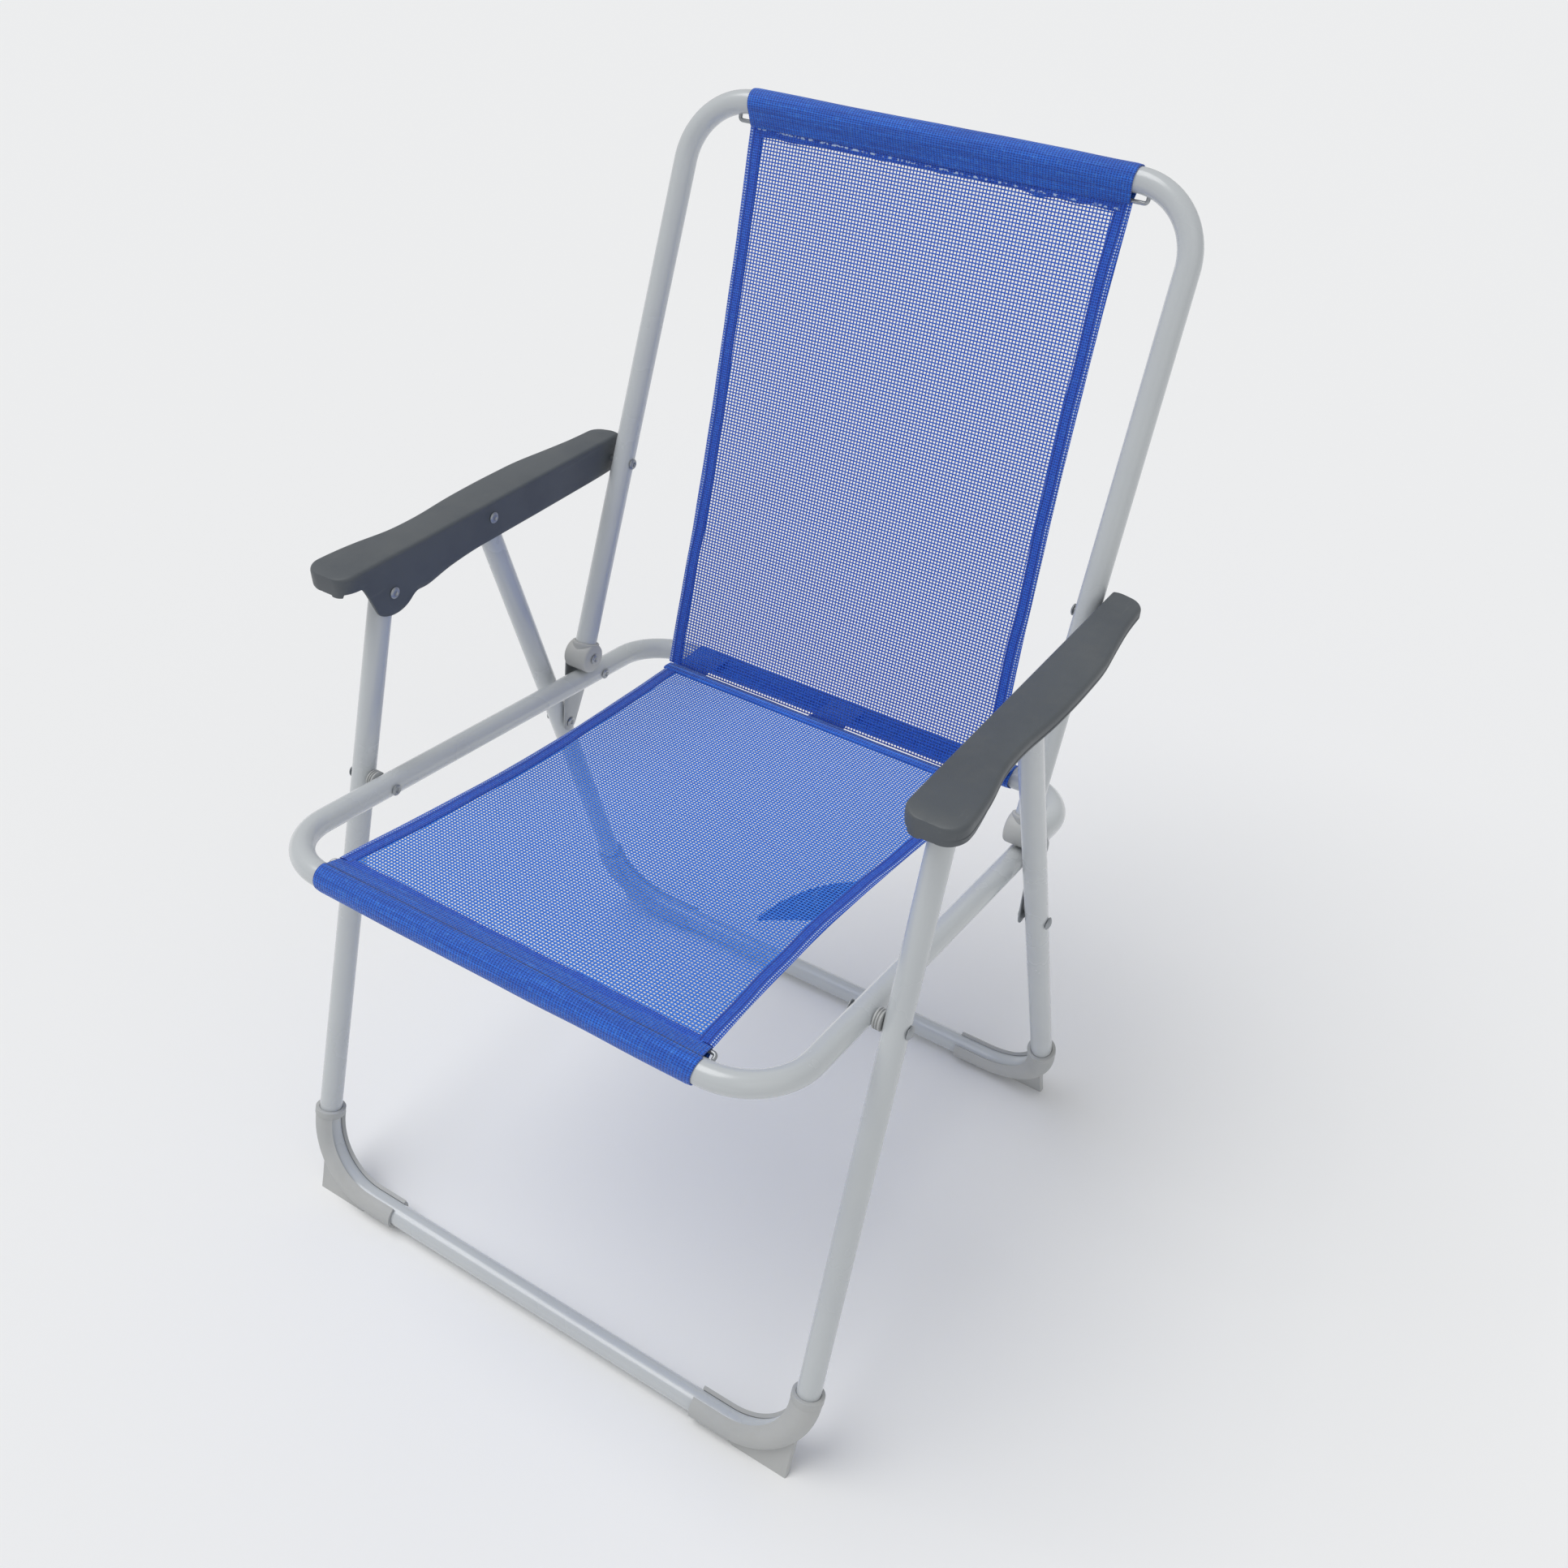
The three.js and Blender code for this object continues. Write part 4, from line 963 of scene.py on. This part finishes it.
def junctionShell():
    # the hem where seat and back meet: a rolled strip across the chair, slightly uneven
    x = np.linspace(-cloth["half"] - roll["past"], cloth["half"] + roll["past"], roll["columns"])
    across, lift = oval(20, 0.6, 0.7)
    across, lift = across * roll["wide"], lift * roll["thick"]
    s = across[None] * (1 + ripple(x, 21, 0.03))[:, None]
    rise = lift[None] + ripple(x, 23, 0.15 * mm)[:, None]
    points = placed(np.broadcast_to(x[:, None], s.shape), junction, s, railBack, rise, railNormal)
    run = np.concatenate([[0], np.cumsum(np.hypot(np.diff(across), np.diff(lift)))])
    uv = np.stack(np.broadcast_arrays(x[:, None], run[None] * 0.35), -1)
    return skin(points, uv)


junctionPiece = piece("junction_hem_roll", [junctionShell()], bandCloth, "seat", ["junction_hem"],
                      60)
rearSleeve = sleeve("rear_sleeve_cloth", rearBar, -railBack, cloth["half"] - 0.5 * mm, 31, rearLoop, "seat",
                    "rear_sleeve")
tongue = {"rows": 18, "columns": 22, **inMm(
    width=36, thick=0.9, start=5.0, stop=2.0, rise=10.4, length=35, inset=18.5)}


def tongueShell(middle, seed):
    # a short flat web from the junction hem to the rear sleeve, a little waisted, its edges uneven
    t = np.linspace(0, 1, tongue["rows"])[:, None]
    start = junction + railBack * tongue["start"]
    end = rearBar + railNormal * tongue["rise"] - railBack * tongue["stop"]
    across = np.linspace(-1, 1, tongue["columns"])[None]
    half = tongue["width"] / 2 * (1 - 0.10 * np.sin(math.pi * t)) + ripple(t, seed, 0.3 * mm)
    x = middle + half * across
    rise = 0.8 * mm * np.sin(math.pi * t) * np.cos(across * 2.2) + ripple(x, seed + 1, 0.12 * mm)
    upper, under = [placed(x, start, t, end - start, rise + lift, railNormal)
                    for lift in (0.5 * tongue["thick"], -0.5 * tongue["thick"])]
    return leaf(upper, under, np.stack([x, t * tongue["length"] + 0 * x], -1))


tongueAt = cloth["half"] - tongue["inset"]
tongues = [piece(f"{side}_tongue", [tongueShell(middle, seed)], bandCloth, "seat", (), 60)
           for side, middle, seed in (("right", -tongueAt, 41), ("middle", 0.0, 43), ("left", tongueAt, 47))]
label = {"slant": 0.3, "rows": 48, "columns": 24, **inMm(inset=4.5, tuck=0.5, drop=2.0, droop=2.0, thick=0.6)}


def labelShell():
    # a blank leaf sewn under the left hem: a pointed tip towards the front, a round top, a slight droop
    low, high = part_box("label")
    front = float((np.array([low.y, high.z]) - frontBar) @ railBack)
    back = float((np.array([high.y, low.z]) - frontBar) @ railBack)
    share, t = np.linspace(0, 1, label["rows"]), np.linspace(0, 1, label["columns"])
    # the free edge: pointed at the front, deepest a third of the way back, then a round shoulder
    keyAt, keyReach = [0, 0.05, 0.2, 0.4, 0.6, 0.8, 0.93, 1], [0.97, 1, 0.98, 0.9, 0.76, 0.53, 0.27, 0.02]
    reach = (high.x - low.x) * np.interp(share, keyAt, keyReach)
    root = front + (back - front) * (label["slant"] + (1 - label["slant"]) * share)
    tip = front + (back - front) * share
    ss = root[:, None] + (tip - root)[:, None] * t[None] ** 1.2
    edge = halfAt(ss, seatFrom, seatTo, cloth["seatWaist"]) - label["inset"]
    x = edge - (reach[:, None] + label["tuck"]) * t[None]
    droop = -label["drop"] - label["droop"] * t[None] ** 2 + 0 * x
    return leaf(seatSpot(x, ss, droop), seatSpot(x, ss, droop - label["thick"]), np.stack([x, ss], -1))


labelPiece = piece("label_leaf", [labelShell()], bandCloth, "seat", ["label"], 60)
panel("back_mesh", backSpot, backFrom - 2 * mm, backTo, cloth["backWaist"], meshCloth, "back_sling",
      "back_panel")
panel("seat_mesh", seatSpot, seatFrom - 2 * mm, seatTo, cloth["seatWaist"], seatMesh, "seat",
      "seat_panel")
print("sling made")

studio = {"floor": 0.875, "floorHalf": 14.0, "world": 0.52, "key": 1.45, "fill": 0.22}
size = studio["floorHalf"]
mesh = bpy.data.meshes.new("floor")
mesh.from_pydata([(-size, -size, 0), (size, -size, 0), (size, size, 0), (-size, size, 0)], [], [(0, 1, 2, 3)])
floor = bpy.data.objects.new("floor", mesh)
bpy.context.scene.collection.objects.link(floor)
floorMaterial = bpy.data.materials.new("paleFloor")
floorMaterial.use_nodes = True
shader = floorMaterial.node_tree.nodes["Principled BSDF"]
shader.inputs["Base Color"].default_value = (studio["floor"],) * 3 + (1.0,)
shader.inputs["Roughness"].default_value = 0.95
shader.inputs["Specular IOR Level"].default_value = 0.0
mesh.materials.append(floorMaterial)

world = bpy.data.worlds.new("studio")
bpy.context.scene.world = world
world.use_nodes = True
background = world.node_tree.nodes["Background"]
background.inputs["Color"].default_value = (0.97, 0.985, 1.0, 1.0)
background.inputs["Strength"].default_value = studio["world"]


def wideSun(name, place, energy, spread):
    # a sun with a wide disc: even light from one side with a soft shadow
    light = bpy.data.lights.new(name, "SUN")
    light.energy, light.angle = energy, math.radians(spread)
    lamp = bpy.data.objects.new(name, light)
    bpy.context.scene.collection.objects.link(lamp)
    lamp.rotation_mode = "QUATERNION"
    lamp.rotation_quaternion = Vector([-v for v in place]).to_track_quat("-Z", "Y")


wideSun("key", (-0.75, -0.35, 2.0), studio["key"], 42)
wideSun("fill", (1.8, -1.0, 1.1), studio["fill"], 60)

camera = {"azimuth": 32.317, "elevation": 37.405, "roll": 0.454, "eye": (0.5796, -0.8161, 1.1909),
          "lens": 36.85, "shift": (-0.0090, -0.0377)}
lens = bpy.data.cameras.new("camera")
lens.sensor_width, lens.lens = 36.0, camera["lens"]
lens.shift_x, lens.shift_y = camera["shift"]
lens.clip_start = 0.05
cameraObject = bpy.data.objects.new("camera", lens)
bpy.context.scene.collection.objects.link(cameraObject)
az, el, roll = (math.radians(camera[k]) for k in ("azimuth", "elevation", "roll"))
backWay = np.array([math.sin(az) * math.cos(el), -math.cos(az) * math.cos(el), math.sin(el)])
rightFlat = np.array([math.cos(az), math.sin(az), 0.0])
upFlat = np.cross(backWay, rightFlat)
rightWay = math.cos(roll) * rightFlat + math.sin(roll) * upFlat
upWay = np.cross(backWay, rightWay)
turn = Matrix(np.stack([rightWay, upWay, backWay], 1).tolist())
cameraObject.location = camera["eye"]
cameraObject.rotation_mode = "QUATERNION"
cameraObject.rotation_quaternion = turn.to_quaternion()
bpy.context.scene.camera = cameraObject
bpy.context.scene.view_settings.view_transform = "Standard"
print("studio set")
